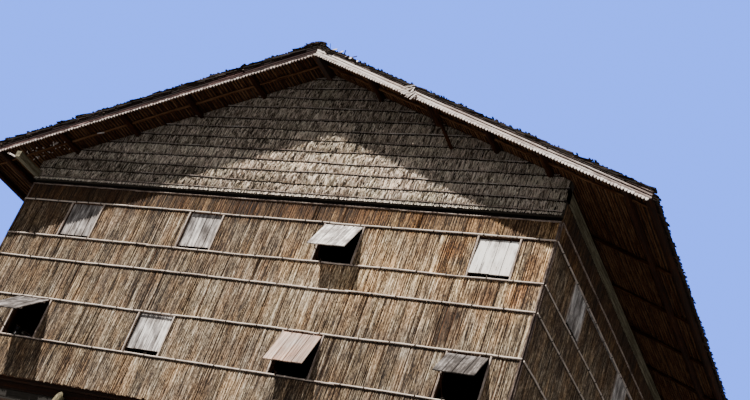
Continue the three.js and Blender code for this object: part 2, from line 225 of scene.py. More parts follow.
class Pile:
    """The strips, poles and boards of one piece, each with a tone and with coordinates along its grain."""

    def __init__(self, seed):
        self.rng = np.random.default_rng(seed)
        self.points, self.tones, self.grains = [], [], []
        self.faces = {}
        self.total = 0

    def add(self, points, faces, tones, grains):
        self.points.append(points)
        self.tones.append(tones)
        self.grains.append(grains)
        for face in faces:
            self.faces.setdefault(face.shape[1], []).append(face + self.total)
        self.total += len(points)

    def sweep(self, line, section, tone=0.5, out=OUT):
        """Sweeps outlines along lines (n, k, 3); an outline's second axis points out."""
        n, k, _ = line.shape
        along = unit(np.gradient(line, axis=1))
        across = unit(np.cross(np.broadcast_to(out, line.shape), along))
        away = np.cross(along, across)
        section = np.broadcast_to(section, (n, k) + section.shape[-2:])
        s = section.shape[2]
        points = line[:, :, None] + section[..., :1] * across[:, :, None] + section[..., 1:] * away[:, :, None]
        steps = np.linalg.norm(np.diff(line, axis=1), axis=-1)
        length = np.concatenate([np.zeros((n, 1)), np.cumsum(steps, axis=1)], axis=1)
        grains = np.concatenate([section, np.broadcast_to(length[:, :, None, None], (n, k, s, 1))], axis=-1)
        grains = grains + self.rng.uniform(0, 40, (n, 1, 1, 3))
        tone = np.asarray(tone, float)
        tone = tone.reshape(tone.shape + (1,) * (3 - tone.ndim)) if tone.ndim else tone
        tones = np.broadcast_to(tone, (n, k, s))
        index = np.arange(n * k * s).reshape(n, k, s)
        low, high = index[:, :-1], index[:, 1:]
        sides = np.stack([low, np.roll(low, -1, 2), np.roll(high, -1, 2), high], -1).reshape(-1, 4)
        self.add(points.reshape(-1, 3), [sides, index[:, 0, ::-1], index[:, -1]], tones.ravel(), grains.reshape(-1, 3))

    def hang(self, other, degrees, place):
        """Takes over a pile drawn down from the origin, hung at a place and opened by so many degrees."""
        c, s = math.cos(math.radians(degrees)), math.sin(math.radians(degrees))
        points = np.concatenate(other.points) @ np.array([[1, 0, 0], [0, c, -s], [0, s, c]]) + place
        faces = [face for faces in other.faces.values() for face in faces]
        self.add(points, faces, np.concatenate(other.tones), np.concatenate(other.grains))

    def turn(self, angle):
        """Turns all that is here about the Z axis."""
        c, s = math.cos(angle), math.sin(angle)
        matrix = np.array([[c, s, 0], [-s, c, 0], [0, 0, 1]])
        self.points = [points @ matrix for points in self.points]
        return self

    def piece(self, name, look, slot, replaces=(), smooth=0):
        """Makes the mesh, with edges sharper than so many degrees kept sharp where it is smooth."""
        mesh = bpy.data.meshes.new(name)
        points = np.concatenate(self.points)
        mesh.vertices.add(len(points))
        mesh.vertices.foreach_set("co", points.astype(np.float32).ravel())
        corners, starts, offset = [], [], 0
        for size, arrays in sorted(self.faces.items()):
            faces = np.concatenate(arrays)
            corners.append(faces.ravel())
            starts.append(offset + np.arange(len(faces)) * size)
            offset += faces.size
        corners, starts = np.concatenate(corners), np.concatenate(starts)
        mesh.loops.add(len(corners))
        mesh.loops.foreach_set("vertex_index", corners.astype(np.int32))
        mesh.polygons.add(len(starts))
        mesh.polygons.foreach_set("loop_start", starts.astype(np.int32))
        mesh.update(calc_edges=True)
        tone = mesh.attributes.new("tone", "FLOAT", "POINT")
        tone.data.foreach_set("value", np.concatenate(self.tones).astype(np.float32))
        grain = mesh.attributes.new("grain", "FLOAT_VECTOR", "POINT")
        grain.data.foreach_set("vector", np.concatenate(self.grains).astype(np.float32).ravel())
        if smooth:
            mesh.shade_smooth()
            mesh.set_sharp_from_angle(angle=math.radians(smooth))
        else:
            mesh.shade_flat()
        mesh.materials.append(look)
        made = placed(name, mesh)
        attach(made, "root")
        if replaces:
            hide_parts(*replaces)


# ---- materials

# Colour ramps, from worn dark to bleached: place, red, green, blue
PALETTES = {
    "bark": [(0.0, 0.012, 0.008, 0.006), (0.28, 0.066, 0.047, 0.033), (0.5, 0.205, 0.157, 0.107),
             (0.75, 0.46, 0.375, 0.268), (1.0, 0.88, 0.78, 0.62)],
    "pale": [(0.0, 0.035, 0.022, 0.022), (0.3, 0.22, 0.17, 0.155), (0.6, 0.5, 0.425, 0.39), (1.0, 0.95, 0.89, 0.85)],
    "cane": [(0.0, 0.045, 0.03, 0.026), (0.3, 0.2, 0.15, 0.125), (0.6, 0.43, 0.345, 0.295), (1.0, 0.8, 0.7, 0.61)],
    "dusk": [(0.0, 0.007, 0.003, 0.003), (0.4, 0.034, 0.014, 0.013), (0.7, 0.09, 0.045, 0.042),
             (1.0, 0.45, 0.34, 0.33)],
    "shade_paint": [(0.0, 0.003, 0.0024, 0.002), (0.4, 0.046, 0.037, 0.03), (1.0, 0.14, 0.115, 0.095)],
    "olive": [(0.0, 0.028, 0.024, 0.014), (0.35, 0.092, 0.082, 0.052), (0.65, 0.19, 0.172, 0.112),
              (1.0, 0.38, 0.35, 0.25)],
    "grey": [(0.0, 0.035, 0.03, 0.028), (0.3, 0.16, 0.145, 0.14), (0.6, 0.4, 0.375, 0.365), (0.82, 0.86, 0.83, 0.8),
             (1.0, 1.0, 0.985, 0.96)],
    "warm": [(0.0, 0.035, 0.025, 0.022), (0.3, 0.16, 0.12, 0.105), (0.6, 0.4, 0.325, 0.285), (1.0, 0.8, 0.72, 0.66)],
    "leaf": [(0.0, 0.012, 0.009, 0.007), (0.3, 0.105, 0.083, 0.063), (0.55, 0.31, 0.257, 0.204),
             (0.8, 0.63, 0.54, 0.447), (1.0, 0.96, 0.87, 0.77)],
    "dark": [(0.0, 0.008, 0.006, 0.005), (0.35, 0.03, 0.022, 0.017), (0.65, 0.075, 0.057, 0.045),
             (1.0, 0.2, 0.165, 0.14)],
    "thatch": [(0.0, 0.006, 0.0045, 0.004), (0.35, 0.024, 0.016, 0.012), (0.65, 0.072, 0.05, 0.038),
               (1.0, 0.2, 0.158, 0.13)],
    "brown": [(0.0, 0.005, 0.0018, 0.0008), (0.4, 0.025, 0.0078, 0.0024), (0.7, 0.064, 0.025, 0.009),
              (1.0, 0.19, 0.1, 0.05)],
    "post": [(0.0, 0.011, 0.009, 0.007), (0.35, 0.115, 0.098, 0.062), (0.65, 0.25, 0.218, 0.118),
             (1.0, 0.47, 0.41, 0.26)],
}

# Plain materials: name, palette, fine and coarse grain, its length, depth of the relief, shine, and options of fibre
MATERIALS = {
    "pole": ("pale_poles", "pale", 180, 40, 3.0, 0.002, 0.2, {}),
    "cane": ("batten_cane", "cane", 180, 40, 4.0, 0.002, 0.2, {"patches": 0.9}),
    "grey_board": ("grey_boards", "grey", 110, 26, 1.1, 0.002, 0.2,
                   {"tint": (0.5, (1.03, 0.95, 0.88)), "contrast": 0.62, "blotch": 1.5}),
    "warm_board": ("warm_boards", "warm", 120, 30, 0.9, 0.002, 0.2,
                   {"tint": (0.9, (1.1, 0.8, 0.64)), "contrast": 0.65, "patches": 0.7}),
    "roof_leaf": ("roof_leaf", "thatch", 190, 60, 3.0, 0.004, 0.1, {}),
    "verge_board": ("verge_boards", "pale", 160, 34, 1.2, 0.002, 0.2, {"tint": (0.5, (1.0, 0.86, 0.8))}),
    # Darker boards for the left verges, partly painted shade of the thatch over them
    "dark_board": ("dark_verge_boards", "dusk", 160, 34, 1.2, 0.002, 0.1, {"contrast": 1.15, "patches": 1.0}),
    "shade_paint": ("leaf_in_painted_shade", "shade_paint", 150, 50, 3.0, 0.002, 0.05, {}),
    "frame": ("roof_poles", "brown", 160, 40, 2.0, 0.003, 0.06, {}),
    "post": ("post_wood", "post", 120, 22, 1.0, 0.008, 0.2, {}),
    "floor": ("floor_boards", "brown", 140, 26, 1.4, 0.003, 0.1, {}),
    "lashing": ("rattan", "dark", 240, 90, 30.0, 0.001, 0.2, {}),
    "wall_inside": ("wall_inside", "brown", 120, 24, 1.2, 0.004, 0.2, {"axis": 2}),
    "upper_floor": ("upper_floor_boards", "brown", 120, 20, 1.2, 0.004, 0.2, {"axis": 0}),
    "ridge_beam": ("ridge_beam_wood", "brown", 120, 24, 1.2, 0.005, 0.2, {"axis": 1, "base": 0.1}),
    "beam": ("hewn_beams", "olive", 120, 24, 1.2, 0.005, 0.2, {"axis": 1}),
}

# Stains on the front wall: place across, height, half width, half height, share and colour
STAINS = [(3.87, 9.26, 0.24, 0.46, 1.0, (0.2, 0.17, 0.155)), (4.35, 9.8, 0.36, 0.18, 0.85, (0.42, 0.35, 0.32)),
          (3.6, 10.6, 0.26, 0.2, 0.75, (0.9, 0.64, 0.46)), (4.92, 9.9, 0.3, 0.22, 0.7, (0.92, 0.66, 0.48)),
          (5.05, 10.42, 0.2, 0.4, 0.6, (0.98, 0.76, 0.58))]


class Look:
    """A material built from nodes round its Principled shader."""

    def __init__(self, name):
        self.material = bpy.data.materials.new(name)
        self.material.use_nodes = True
        self.tree = self.material.node_tree
        self.shader = self.tree.nodes["Principled BSDF"]
        self.place = self.node("TexCoord").outputs["Object"]

    def node(self, kind, settings=None, **inputs):
        made = self.tree.nodes.new("ShaderNode" + kind)
        for key, value in (settings or {}).items():
            setattr(made, key, value)
        for key, value in inputs.items():
            self.feed(made.inputs[key.replace("_", " ")], value)
        return made

    def feed(self, socket, value):
        if isinstance(value, bpy.types.NodeSocket):
            self.tree.links.new(value, socket)
        else:
            socket.default_value = value

    def read(self, attribute, output):
        return self.node("Attribute", {"attribute_name": attribute}).outputs[output]

    def math(self, operation, a, b=0.0, clamp=False):
        made = self.node("Math", {"operation": operation, "use_clamp": clamp})
        self.feed(made.inputs[0], a)
        self.feed(made.inputs[1], b)
        return made.outputs[0]

    def plus(self, a, b, clamp=False):
        return self.math("ADD", a, b, clamp)

    def less(self, a, b):
        return self.math("SUBTRACT", a, b)

    def times(self, a, b):
        return self.math("MULTIPLY", a, b)

    def swing(self, noise, share):
        """A noise about zero instead of a half, times a share."""
        return self.times(self.less(noise, 0.5), share)

    def noise(self, scale, detail=4.0, roughness=0.6, stretch=(1, 1, 1), shift=(0, 0, 0), vector=None):
        mapped = self.node("Mapping", Vector=vector or self.place, Scale=stretch, Location=shift)
        made = self.node("TexNoise", Vector=mapped.outputs[0], Scale=scale, Detail=detail, Roughness=roughness)
        return made.outputs["Fac"]

    def between(self, value, start, end, low=0.0, high=1.0):
        """Runs from low to high while the value runs from start to end."""
        return self.node("MapRange", Value=value, From_Min=start, From_Max=end, To_Min=low, To_Max=high).outputs[0]

    def ramp(self, factor, *stops):
        made = self.node("ValToRGB", Fac=factor)
        elements = made.color_ramp.elements
        while len(elements) < len(stops):
            elements.new(0.5)
        for element, (place, *colour) in zip(elements, stops):
            element.position = place
            element.color = (*colour, 1)
        return made.outputs["Color"]

    def edge(self, factor, black, white):
        """A ramp between a place that is black and one that is white."""
        return self.ramp(factor, *sorted([(black, 0, 0, 0), (white, 1, 1, 1)]))

    def tint(self, share, colour, by):
        """A colour multiplied by another, as far as the share says."""
        made = self.node("Mix", {"data_type": "RGBA", "blend_type": "MULTIPLY"})
        for i, value in ((0, share), (6, colour), (7, (*by, 1) if isinstance(by, tuple) else by)):
            self.feed(made.inputs[i], value)
        return made.outputs[2]

    def finish(self, colour, height, depth, roughness, shine=0.2):
        bump = self.node("Bump", Height=height, Distance=depth, Strength=1.0)
        self.feed(self.shader.inputs["Base Color"], colour)
        self.feed(self.shader.inputs["Roughness"], roughness)
        self.feed(self.shader.inputs["Specular IOR Level"], shine)
        self.feed(self.shader.inputs["Normal"], bump.outputs[0])
        return self.material


def fibre(look, palette, fine, coarse, along, contrast=1.0, patches=0.6, mottle=0.0, blotch=0.0, tint=None,
          axis=None, base=0.5):
    """Weathered plant fibre or wood, as colour, height and roughness: streaks along the grain, slow patches over the
    whole piece, and worn tones. Solids have no grain of their own and take an axis for it and a base tone."""
    if axis is None:
        grain, tone, stretch = look.read("grain", "Vector"), look.read("tone", "Fac"), (1, 1, along / coarse)
    else:
        grain, tone, stretch = look.place, base, tuple(along / coarse if i == axis else 1 for i in range(3))
    streak = look.noise(coarse, 2.5, 0.6, stretch, vector=grain)
    thread = look.noise(fine, 2.0, 0.7, stretch, (3.1, 7.7, 1.3), grain)
    mixed = look.plus(look.swing(streak, 1.9 * contrast), look.swing(thread, 1.6 * contrast))
    mixed = look.plus(mixed, look.swing(look.noise(0.9), patches))
    if mottle:
        mixed = look.plus(mixed, look.swing(look.noise(36.0, 3.0, 0.72, (1, 1, 0.5), (2, 5, 8)), mottle))
    if blotch:
        mixed = look.plus(mixed, look.swing(look.noise(7.0, 3.0, 0.6, (1, 1, 0.45), (4, 1, 6)), blotch))
    colour = look.ramp(look.plus(mixed, tone, clamp=True), *PALETTES[palette])
    if tint:
        share, hue = tint
        where = look.edge(look.noise(1.7, 5.0, 0.65, shift=(5, 2, 9)), 0.42, 0.66)
        colour = look.tint(look.times(where, share), colour, hue)
    return colour, look.plus(streak, look.times(thread, 0.6)), look.between(thread, 0.0, 1.0, 0.72, 0.95)


def slat_look(name, front=False):
    """Split bark: crinkled fibres, bands that differ in hue, dark knots, stains by place, and painted light and shade
    by place.
    """
    look = Look(name)
    colour, height, rough = fibre(look, "bark", 80, 42, 3.2, 0.8, mottle=1.3, tint=(0.6, (1.08, 0.88, 0.62)))
    band = look.noise(4.6, 1.5, 0.5, (1, 1, 0.24))
    cloud = look.noise(1.3, 4.0, 0.6, shift=(1, 9, 6))
    for factor, black, white, share, hue in ((band, 0.5, 0.6, 0.5, (1.0, 0.82, 0.66)),
                                             (band, 0.47, 0.38, 0.5, (0.9, 0.94, 0.96)),
                                             (cloud, 0.46, 0.62, 0.6, (0.78, 0.76, 0.82))):
        colour = look.tint(look.times(look.edge(factor, black, white), share), colour, hue)
    knots = look.ramp(look.noise(21.0, 1.0, 0.5, shift=(7, 1, 4)), (0.68, 1, 1, 1), (0.73, 0.3, 0.27, 0.25))
    colour = look.tint(1.0, colour, knots)
    x, _, z = look.node("SeparateXYZ", Vector=look.place).outputs
    # The top course is redder, and darker as painted shade of the gable's overhang; less so towards the right of the
    # front, where the sun reaches it
    warm = look.between(z, 10.72, 10.98, 0.0, 0.85)
    if front:
        warm = look.times(warm, look.between(x, 1.5, 3.6, 1.0, 0.62))
    colour = look.tint(warm, colour, (0.42, 0.32, 0.235))
    uneven = look.ramp(look.noise(1.5, 2.0, 0.5, (1, 1, 0.3), (4, 0, 6)), (0.4, 0.42, 0.35, 0.31),
                       (0.49, 0.72, 0.66, 0.6), (0.58, 1.22, 1.16, 1.02))
    colour = look.tint(warm, colour, uneven)
    # Painted shade just under the ledge and the gable's fringe
    colour = look.tint(look.between(z, 11.08, 11.3, 0.0, 0.7), colour, (0.36, 0.31, 0.29))
    if front:
        # Painted shade: darker towards the left end of the front, where the eave shades the wall, with darker boards
        # there too
        colour = look.tint(look.between(x, -5.9, -0.8, 0.9, 0.0), colour, (0.66, 0.62, 0.58))
        # Painted light: brighter high on the right of the front, where the sun falls; lower down on the right, darker
        right = look.between(x, -0.5, 2.5)
        colour = look.tint(look.times(right, look.between(z, 8.8, 10.0)), colour, (1.58, 1.5, 1.33))
        colour = look.tint(look.times(right, look.between(z, 9.6, 8.6)), colour, (0.76, 0.755, 0.75))
        ragged = look.swing(look.noise(5.0, 4.0, 0.7, (1, 1, 0.5)), 3.0)
        for across, up, wide, tall, share, stain in STAINS:
            u, v = look.times(look.less(x, across), 1 / wide), look.times(look.less(z, up), 1 / tall)
            distance = look.plus(look.plus(look.times(u, u), look.times(v, v)), ragged)
            colour = look.tint(look.between(distance, 0.1, 1.4, share, 0.0), colour, stain)
    return look.finish(colour, height, 0.008, rough)


def gable_look(name):
    """Hanging leaf, with painted light low in the middle, where the sun reaches under the roof, and painted shade
    towards the top.
    """
    look = Look(name)
    colour, height, rough = fibre(look, "leaf", 150, 50, 3.0, mottle=0.15, tint=(0.6, (0.86, 0.95, 0.88)))
    x, _, z = look.node("SeparateXYZ", Vector=look.place).outputs
    # Painted light: brighter low in the middle, where the sun falls
    near = look.between(look.math("ABSOLUTE", look.less(x, 0.4)), 1.2, 3.4, 1.0, 0.0)
    colour = look.tint(look.times(near, look.between(z, 12.1, 13.0, 1.0, 0.0)), colour, (1.42, 1.4, 1.4))
    # Painted shade: darker towards the top, under the roof
    colour = look.tint(look.between(z, 12.2, 13.4), colour, (0.88, 0.86, 0.84))
    return look.finish(colour, height, 0.003, rough)


def looks():
    made = {"slat": slat_look("bark_slats"), "front_slat": slat_look("front_bark_slats", True),
            "gable_leaf": gable_look("gable_leaf")}
    for key, (name, palette, fine, coarse, along, depth, shine, options) in MATERIALS.items():
        look = Look(name)
        colour, height, rough = fibre(look, palette, fine, coarse, along, **options)
        made[key] = look.finish(colour, height, depth, rough, shine)
    return made


# ---- walls


def courses(side):
    """Bottom, top and window row of each course of slats on a side."""
    heights = [FLOOR, *(FLOOR + z for z in BATTENS), SIDES[side][4]]
    rows = [None, "lower", None, None, "upper", None]
    return list(zip(heights[:-1], heights[1:], rows))


def stretches(side, row):
    """The stretches of a course between its windows."""
    start, end = SIDES[side][2:4]
    windows = windows_of(side, row) if row else []
    edges = [start, *(edge for centre, half, _, _ in windows for edge in (centre - half, centre + half)), end]
    return list(zip(edges[::2], edges[1::2]))


SLAT_WIDTH, FRONT_SLAT_WIDTH, WIDE_GAP_SHARE = 0.05, 0.04, 0.23


def slats(side, seed, look):
    """Split slats side by side, a course at a time, with painted shade at their heads under the battens."""
    pile = Pile(seed)
    rng = pile.rng
    turn, face = SIDES[side][:2]
    front = side == "front"
    # Painted shade: each slat is darker in its top few centimetres, where the batten above shades it
    shares = (0.0, 0.03, 0.06, 0.5, 1.0) if front else (0.0, 0.05, 1.0)
    batten_shade = np.interp(shares, (0.0, 0.03, 0.06), (-0.5, -0.35, 0.0))
    for low, high, row in courses(side):
        for start, end in stretches(side, row):
            edges = fill(rng, start, end, FRONT_SLAT_WIDTH if front else SLAT_WIDTH, 0.5)
            n = len(edges) - 1
            middle = (edges[1:] + edges[:-1]) / 2
            gap = rng.uniform(0.001, 0.004, n) + rng.uniform(0.009, 0.015, n) * (rng.random(n) < WIDE_GAP_SHARE)
            half = (edges[1:] - edges[:-1] - gap)[:, None] / 2
            foot = low + rng.uniform(-0.02 if low == FLOOR else -0.012, 0.012, n)
            head = high + rng.uniform(-0.012, 0.004, n)
            line = span((middle, face, head), (middle + rng.normal(0, 0.003, n), face, foot), shares)
            line[:, 1:-1, 0] += rng.normal(0, 0.0025, (n, 1))
            lift = rng.uniform(0.0, 0.005, (n, 1)) + rng.uniform(0, 0.0015, (n, len(shares)))
            crown = rng.uniform(0.006, 0.011, (n, 1))
            skew = rng.uniform(-0.3, 0.3, (n, 1))
            rim, shoulder = 0.0015 + lift, lift + crown * 0.75
            section = outline((-half, -0.001), (half, -0.001), (half, rim), (half * (0.55 + 0.2 * skew), shoulder),
                              (half * skew, lift + crown), (-half * (0.55 - 0.2 * skew), shoulder), (-half, rim))
            board = np.repeat(rng.normal(0, 0.055, n // 4 + 1), 4)[:n, None]
            tone = rng.normal(0.47, 0.055, (n, 1)) + board + rng.normal(0.0, 0.03, (n, len(shares))) + batten_shade
            pile.sweep(line, section, tone)
    pile.turn(turn).piece(side + "_slats", look, "slats", smooth=50)


POLE_LENGTH, POLE_RADIUS, LEDGE_LENGTH = 3.4, (0.0122, 0.0142), 2.7
LASHING_STEP, LASHING_RADII = 0.62, np.array([[0.014, 0.0172, 0.0172, 0.014]])
ASKEW = (-0.013, 0.012)  # how far the ends of the front's second batten stray from level


def battens(side, seed, look, lashing_look):
    """Round poles across a side, with a ledge, corner strips and strips beside the windows, all lashed on."""
    pile, ties = Pile(seed), Pile(seed + 1)
    rng = pile.rng
    turn, face, start, end, _ = SIDES[side]
    strip = bevelled(0.03, 0.026, 0.004)

    def askew(x, height):
        """The front's second batten hangs a little askew."""
        return np.interp(x, (start, end), ASKEW) * (side == "front" and height == BATTENS[1])

    # Poles
    for height in BATTENS:
        for a, b in pairwise(fill(rng, start, end, POLE_LENGTH, 0.25)):
            k = max(6, round((b - a) / 0.28))
            radius = rng.uniform(*POLE_RADIUS)
            y, z = face - POLE_OFF - radius, FLOOR + height
            line = span((a if a == start else a - rng.uniform(0.0, 0.1), y, z), (b, y, z), k)
            waver(rng, line, 2, 0.009)
            line[..., 2] += rng.uniform(-0.004, 0.004)
            line[..., 2] += askew(line[..., 0], height)
            waver(rng, line, 1, 0.0012)
            radii = radius * (1 + rng.normal(0, 0.035, (1, k)))
            pile.sweep(line, ring(radii, 8), rng.uniform(0.8, 1.08))
    # Ledge, corner strips and strips beside the windows
    ledge = fill(rng, start, end, LEDGE_LENGTH, 0.2)
    n = len(ledge) - 1
    y, z = face - LEDGE_OFF, FLOOR + LEDGE + rng.normal(0, 0.003, n)
    line = span((ledge[:-1] + 0.003, y, z), (ledge[1:] - 0.003, y, z), 4)
    pile.sweep(line, bevelled(0.018, 0.03, 0.004), rng.uniform(0.3, 0.48, n))
    for u in (start + 0.015, end - 0.015):
        line = span((u, face - CORNER_OFF, FLOOR + LEDGE), (u, face - CORNER_OFF, FLOOR + 0.03), 6)
        pile.sweep(line, strip, 0.06)
    for row, (sill, head) in ROWS.items():
        for centre, half, _, _ in windows_of(side, row):
            for u in (centre - half - 0.015, centre + half + 0.015):
                line = span((u, face - STRIP_OFF, head), (u, face - STRIP_OFF, sill), 4)
                line[0, 1:3, 0] += rng.normal(0, 0.002, 2)
                pile.sweep(line, strip, rng.uniform(0.55, 0.7))
    # Lashings, each a roll with two loose ends
    for height in BATTENS:
        places = spaced(rng, start + 0.25, end - 0.1, LASHING_STEP, 0.16)
        row = {BATTENS[1]: "lower", BATTENS[4]: "upper"}.get(height)
        if row:
            over = [c + s * (h - 0.07) for c, h, _, _ in windows_of(side, row) for s in (-1, 1)]
            places = np.r_[[p for p in places if min(abs(p - o) for o in over) > 0.12], over]
        n = len(places)
        y, z = face - LASHING_OFF, FLOOR + height + rng.normal(0, 0.003, n) + askew(places, height)
        wide = rng.uniform(0.008, 0.014, n)
        lean = rng.normal(0, 0.004, n)
        radii = LASHING_RADII * rng.uniform(0.95, 1.05, (n, 1))
        line = span((places - wide, y, z + lean), (places + wide, y, z - lean), 4)
        ties.sweep(line, ring(radii, 8), rng.uniform(0.2, 0.6, n))
        for s in (-1, 1):
            knot, rise = z + 0.014, rng.uniform(0.02, 0.05, n)
            tip = (places + s * rng.uniform(0.004, 0.03, n), y - rng.uniform(0.006, 0.012, n), knot + rise)
            line = span((places, y - 0.01, knot), tip, 3)
            line[:, 1, 1] -= 0.002
            ties.sweep(line, flat(0.006, 0.0025), rng.uniform(0.2, 0.7, n))
    pile.turn(turn).piece(side + "_batten_poles", look, "batten", (side + "_battens",), smooth=40)
    ties.turn(turn).piece(side + "_lashings", lashing_look, "batten", smooth=40)


OPEN_GAP, CLOSED_LAP = 0.034, -0.01  # from the hinge down to the planks
PLANK_THICK, CLEAT_SHARES, NAIL_RADIUS = 0.019, (0.16, 0.8), 0.0045


def shutter(pile, half, length, degrees, place, tone=0.58):
    """Four planks on two cleats, hung by two bindings from the head; an open one has a gap over its planks."""
    own = Pile(int(pile.rng.integers(1 << 30)))
    rng = own.rng
    edges = fill(rng, -half + 0.004, half - 0.004, half / 2, 0.1)
    n = len(edges) - 1
    gap = np.full(n, 0.005)
    gap[rng.integers(0, n - 1)] = 0.008
    middle = (edges[1:] + edges[:-1] - gap) / 2
    width = (edges[1:] - edges[:-1] - gap)[:, None]
    drop = length + rng.uniform(-0.012, 0.0, n)
    head = (OPEN_GAP if degrees else CLOSED_LAP) + rng.uniform(0, 0.006, n)
    line = span((middle, 0.01, -head), (middle, 0.01, -drop), 5)
    line[:, 1:-1, 1] += rng.normal(0, 0.0008, (n, 3))
    own.sweep(line, bevelled(width, PLANK_THICK, 0.007), tone + rng.uniform(-0.11, 0.11, n))
    # Bindings, cleats and nails
    for u in (-half * 0.55, half * 0.55):
        own.sweep(span((u, 0.002, 0.002), (u, -0.002, -0.06), 3), bevelled(0.012, 0.005, 0.001), 0.12)
    for z in (-length * share for share in CLEAT_SHARES):
        cleat = span((-half + 0.03, 0.031, z), (half - 0.03, 0.031, z), 4)
        own.sweep(cleat, bevelled(0.045, 0.022, 0.004), 0.35, (0.0, 1.0, 0.0))
        for u in middle:
            own.sweep(span((u, 0.004, z), (u, -0.0015, z)), ring(NAIL_RADIUS, 6), 0.05, SKYWARD)
    pile.hang(own, degrees, place)


SHUTTER_TONES = {"upper": [0.4, 0.5, 0.58, 0.9], "lower": [0.06, 0.6, 0.63, 0.06]}
SWAY = {("upper", 3): 4.0}  # a closed shutter that doesn't lie quite flat
OPEN_OFF, CLOSED_OFF, PROP_SHARE = -0.026, 0.017, 0.9


def front_shutters(look, warm_look, stick_look):
    """The eight shutters of the front, with a prop under each open one."""
    for row, (sill, head) in ROWS.items():
        hinge = head - HINGE_DROP
        for i, (x, half, length, degrees) in enumerate(FRONT_WINDOWS[row]):
            seed = 10 * i + (row == "lower")
            pile, prop = Pile(300 + seed), Pile(400 + seed)
            y = -HALF_LENGTH + (OPEN_OFF if degrees else CLOSED_OFF)
            shutter(pile, half, length, SWAY.get((row, i), degrees), (x, y, hinge), SHUTTER_TONES[row][i])
            name = f"front_{row}_shutter_{i + 1}"
            pile.piece(name + "_planks", warm_look if (row, i) == ("lower", 2) else look, "shutter", (name,))
            if degrees:
                a, reach = math.radians(degrees), length * PROP_SHARE
                top = (x - (half - 0.1), y - math.sin(a) * reach + 0.03, hinge - math.cos(a) * reach)
                line = span((x - (half - 0.13), -HALF_LENGTH + 0.035, sill + 0.022), top, 5)
                line[0, 1:-1, 0] += prop.rng.normal(0, 0.003, 3)
                prop.sweep(line, ring([[0.01, 0.009, 0.0095, 0.008, 0.007]], 7), 0.15)
                prop.piece(f"front_{row}_prop_{i + 1}", stick_look, "shutter", smooth=50)


def shutter_rows(side, seed, look):
    """The closed shutters of another side, one piece a row, on the rail that they hang from."""
    turn, face = SIDES[side][:2]
    for row, (_, head) in ROWS.items():
        pile = Pile(seed + (row == "lower"))
        centres = [window[0] for window in windows_of(side, row)]
        hinge = head - HINGE_DROP
        y, z = face - 0.019, hinge - 0.015
        line = span((centres[0] - HALF_WINDOW, y, z), (centres[-1] + HALF_WINDOW, y, z), 40)
        waver(pile.rng, line, 2, 0.003)
        pile.sweep(line, ring(0.0145, 8))
        for u in centres:
            shutter(pile, HALF_WINDOW, SHUTTER_LENGTH, 0, (u, face - 0.0243, hinge))
        name = f"{side}_{row}_shutters"
        pile.turn(turn).piece(name + "_planks", look, "shutter", (name,))


# ---- gables

# Heights of the feet of the courses, from the fringe over the wall up to the ridge
GABLE_FEET = [11.368, 11.435, 11.65, 11.89, 12.12, 12.36, 12.6, 12.83, 13.06, 13.33, 13.57, 13.8, 14.02]
GABLE_RISE = 0.15  # of the backing over the rake
GABLE_TOP = RIDGE + GABLE_RISE
# The dark board behind the fringe is painted shade under the fringe's overhang
FRINGE_BOARD = 11.322  # height of the dark board behind the fringe
GABLE_OFF, COURSE_LAP = 0.066, 0.026
LEAF_STEP, FRINGE_STEP, BITS_PER_AREA, PALE_SHARE = 0.021, 0.015, 1 / 0.24 / 0.0115, 0.68
# Some courses have weathered more than the rest, left and right of the middle
COURSE_TONES = {1: (-0.08, 0.03), 2: (-0.1, 0.06), 3: (0.06, 0.07), 4: (0.05, 0.08), 5: (-0.07, -0.03), 6: (0.02, 0.02)}


def course_height(x, layer):
    """How far a course's foot wanders from level."""
    return (layer > 1) * (0.01 * np.sin(x * 1.1 + 2.3 * layer) + 0.005 * np.sin(x * 3.7 + 1.7 * layer))


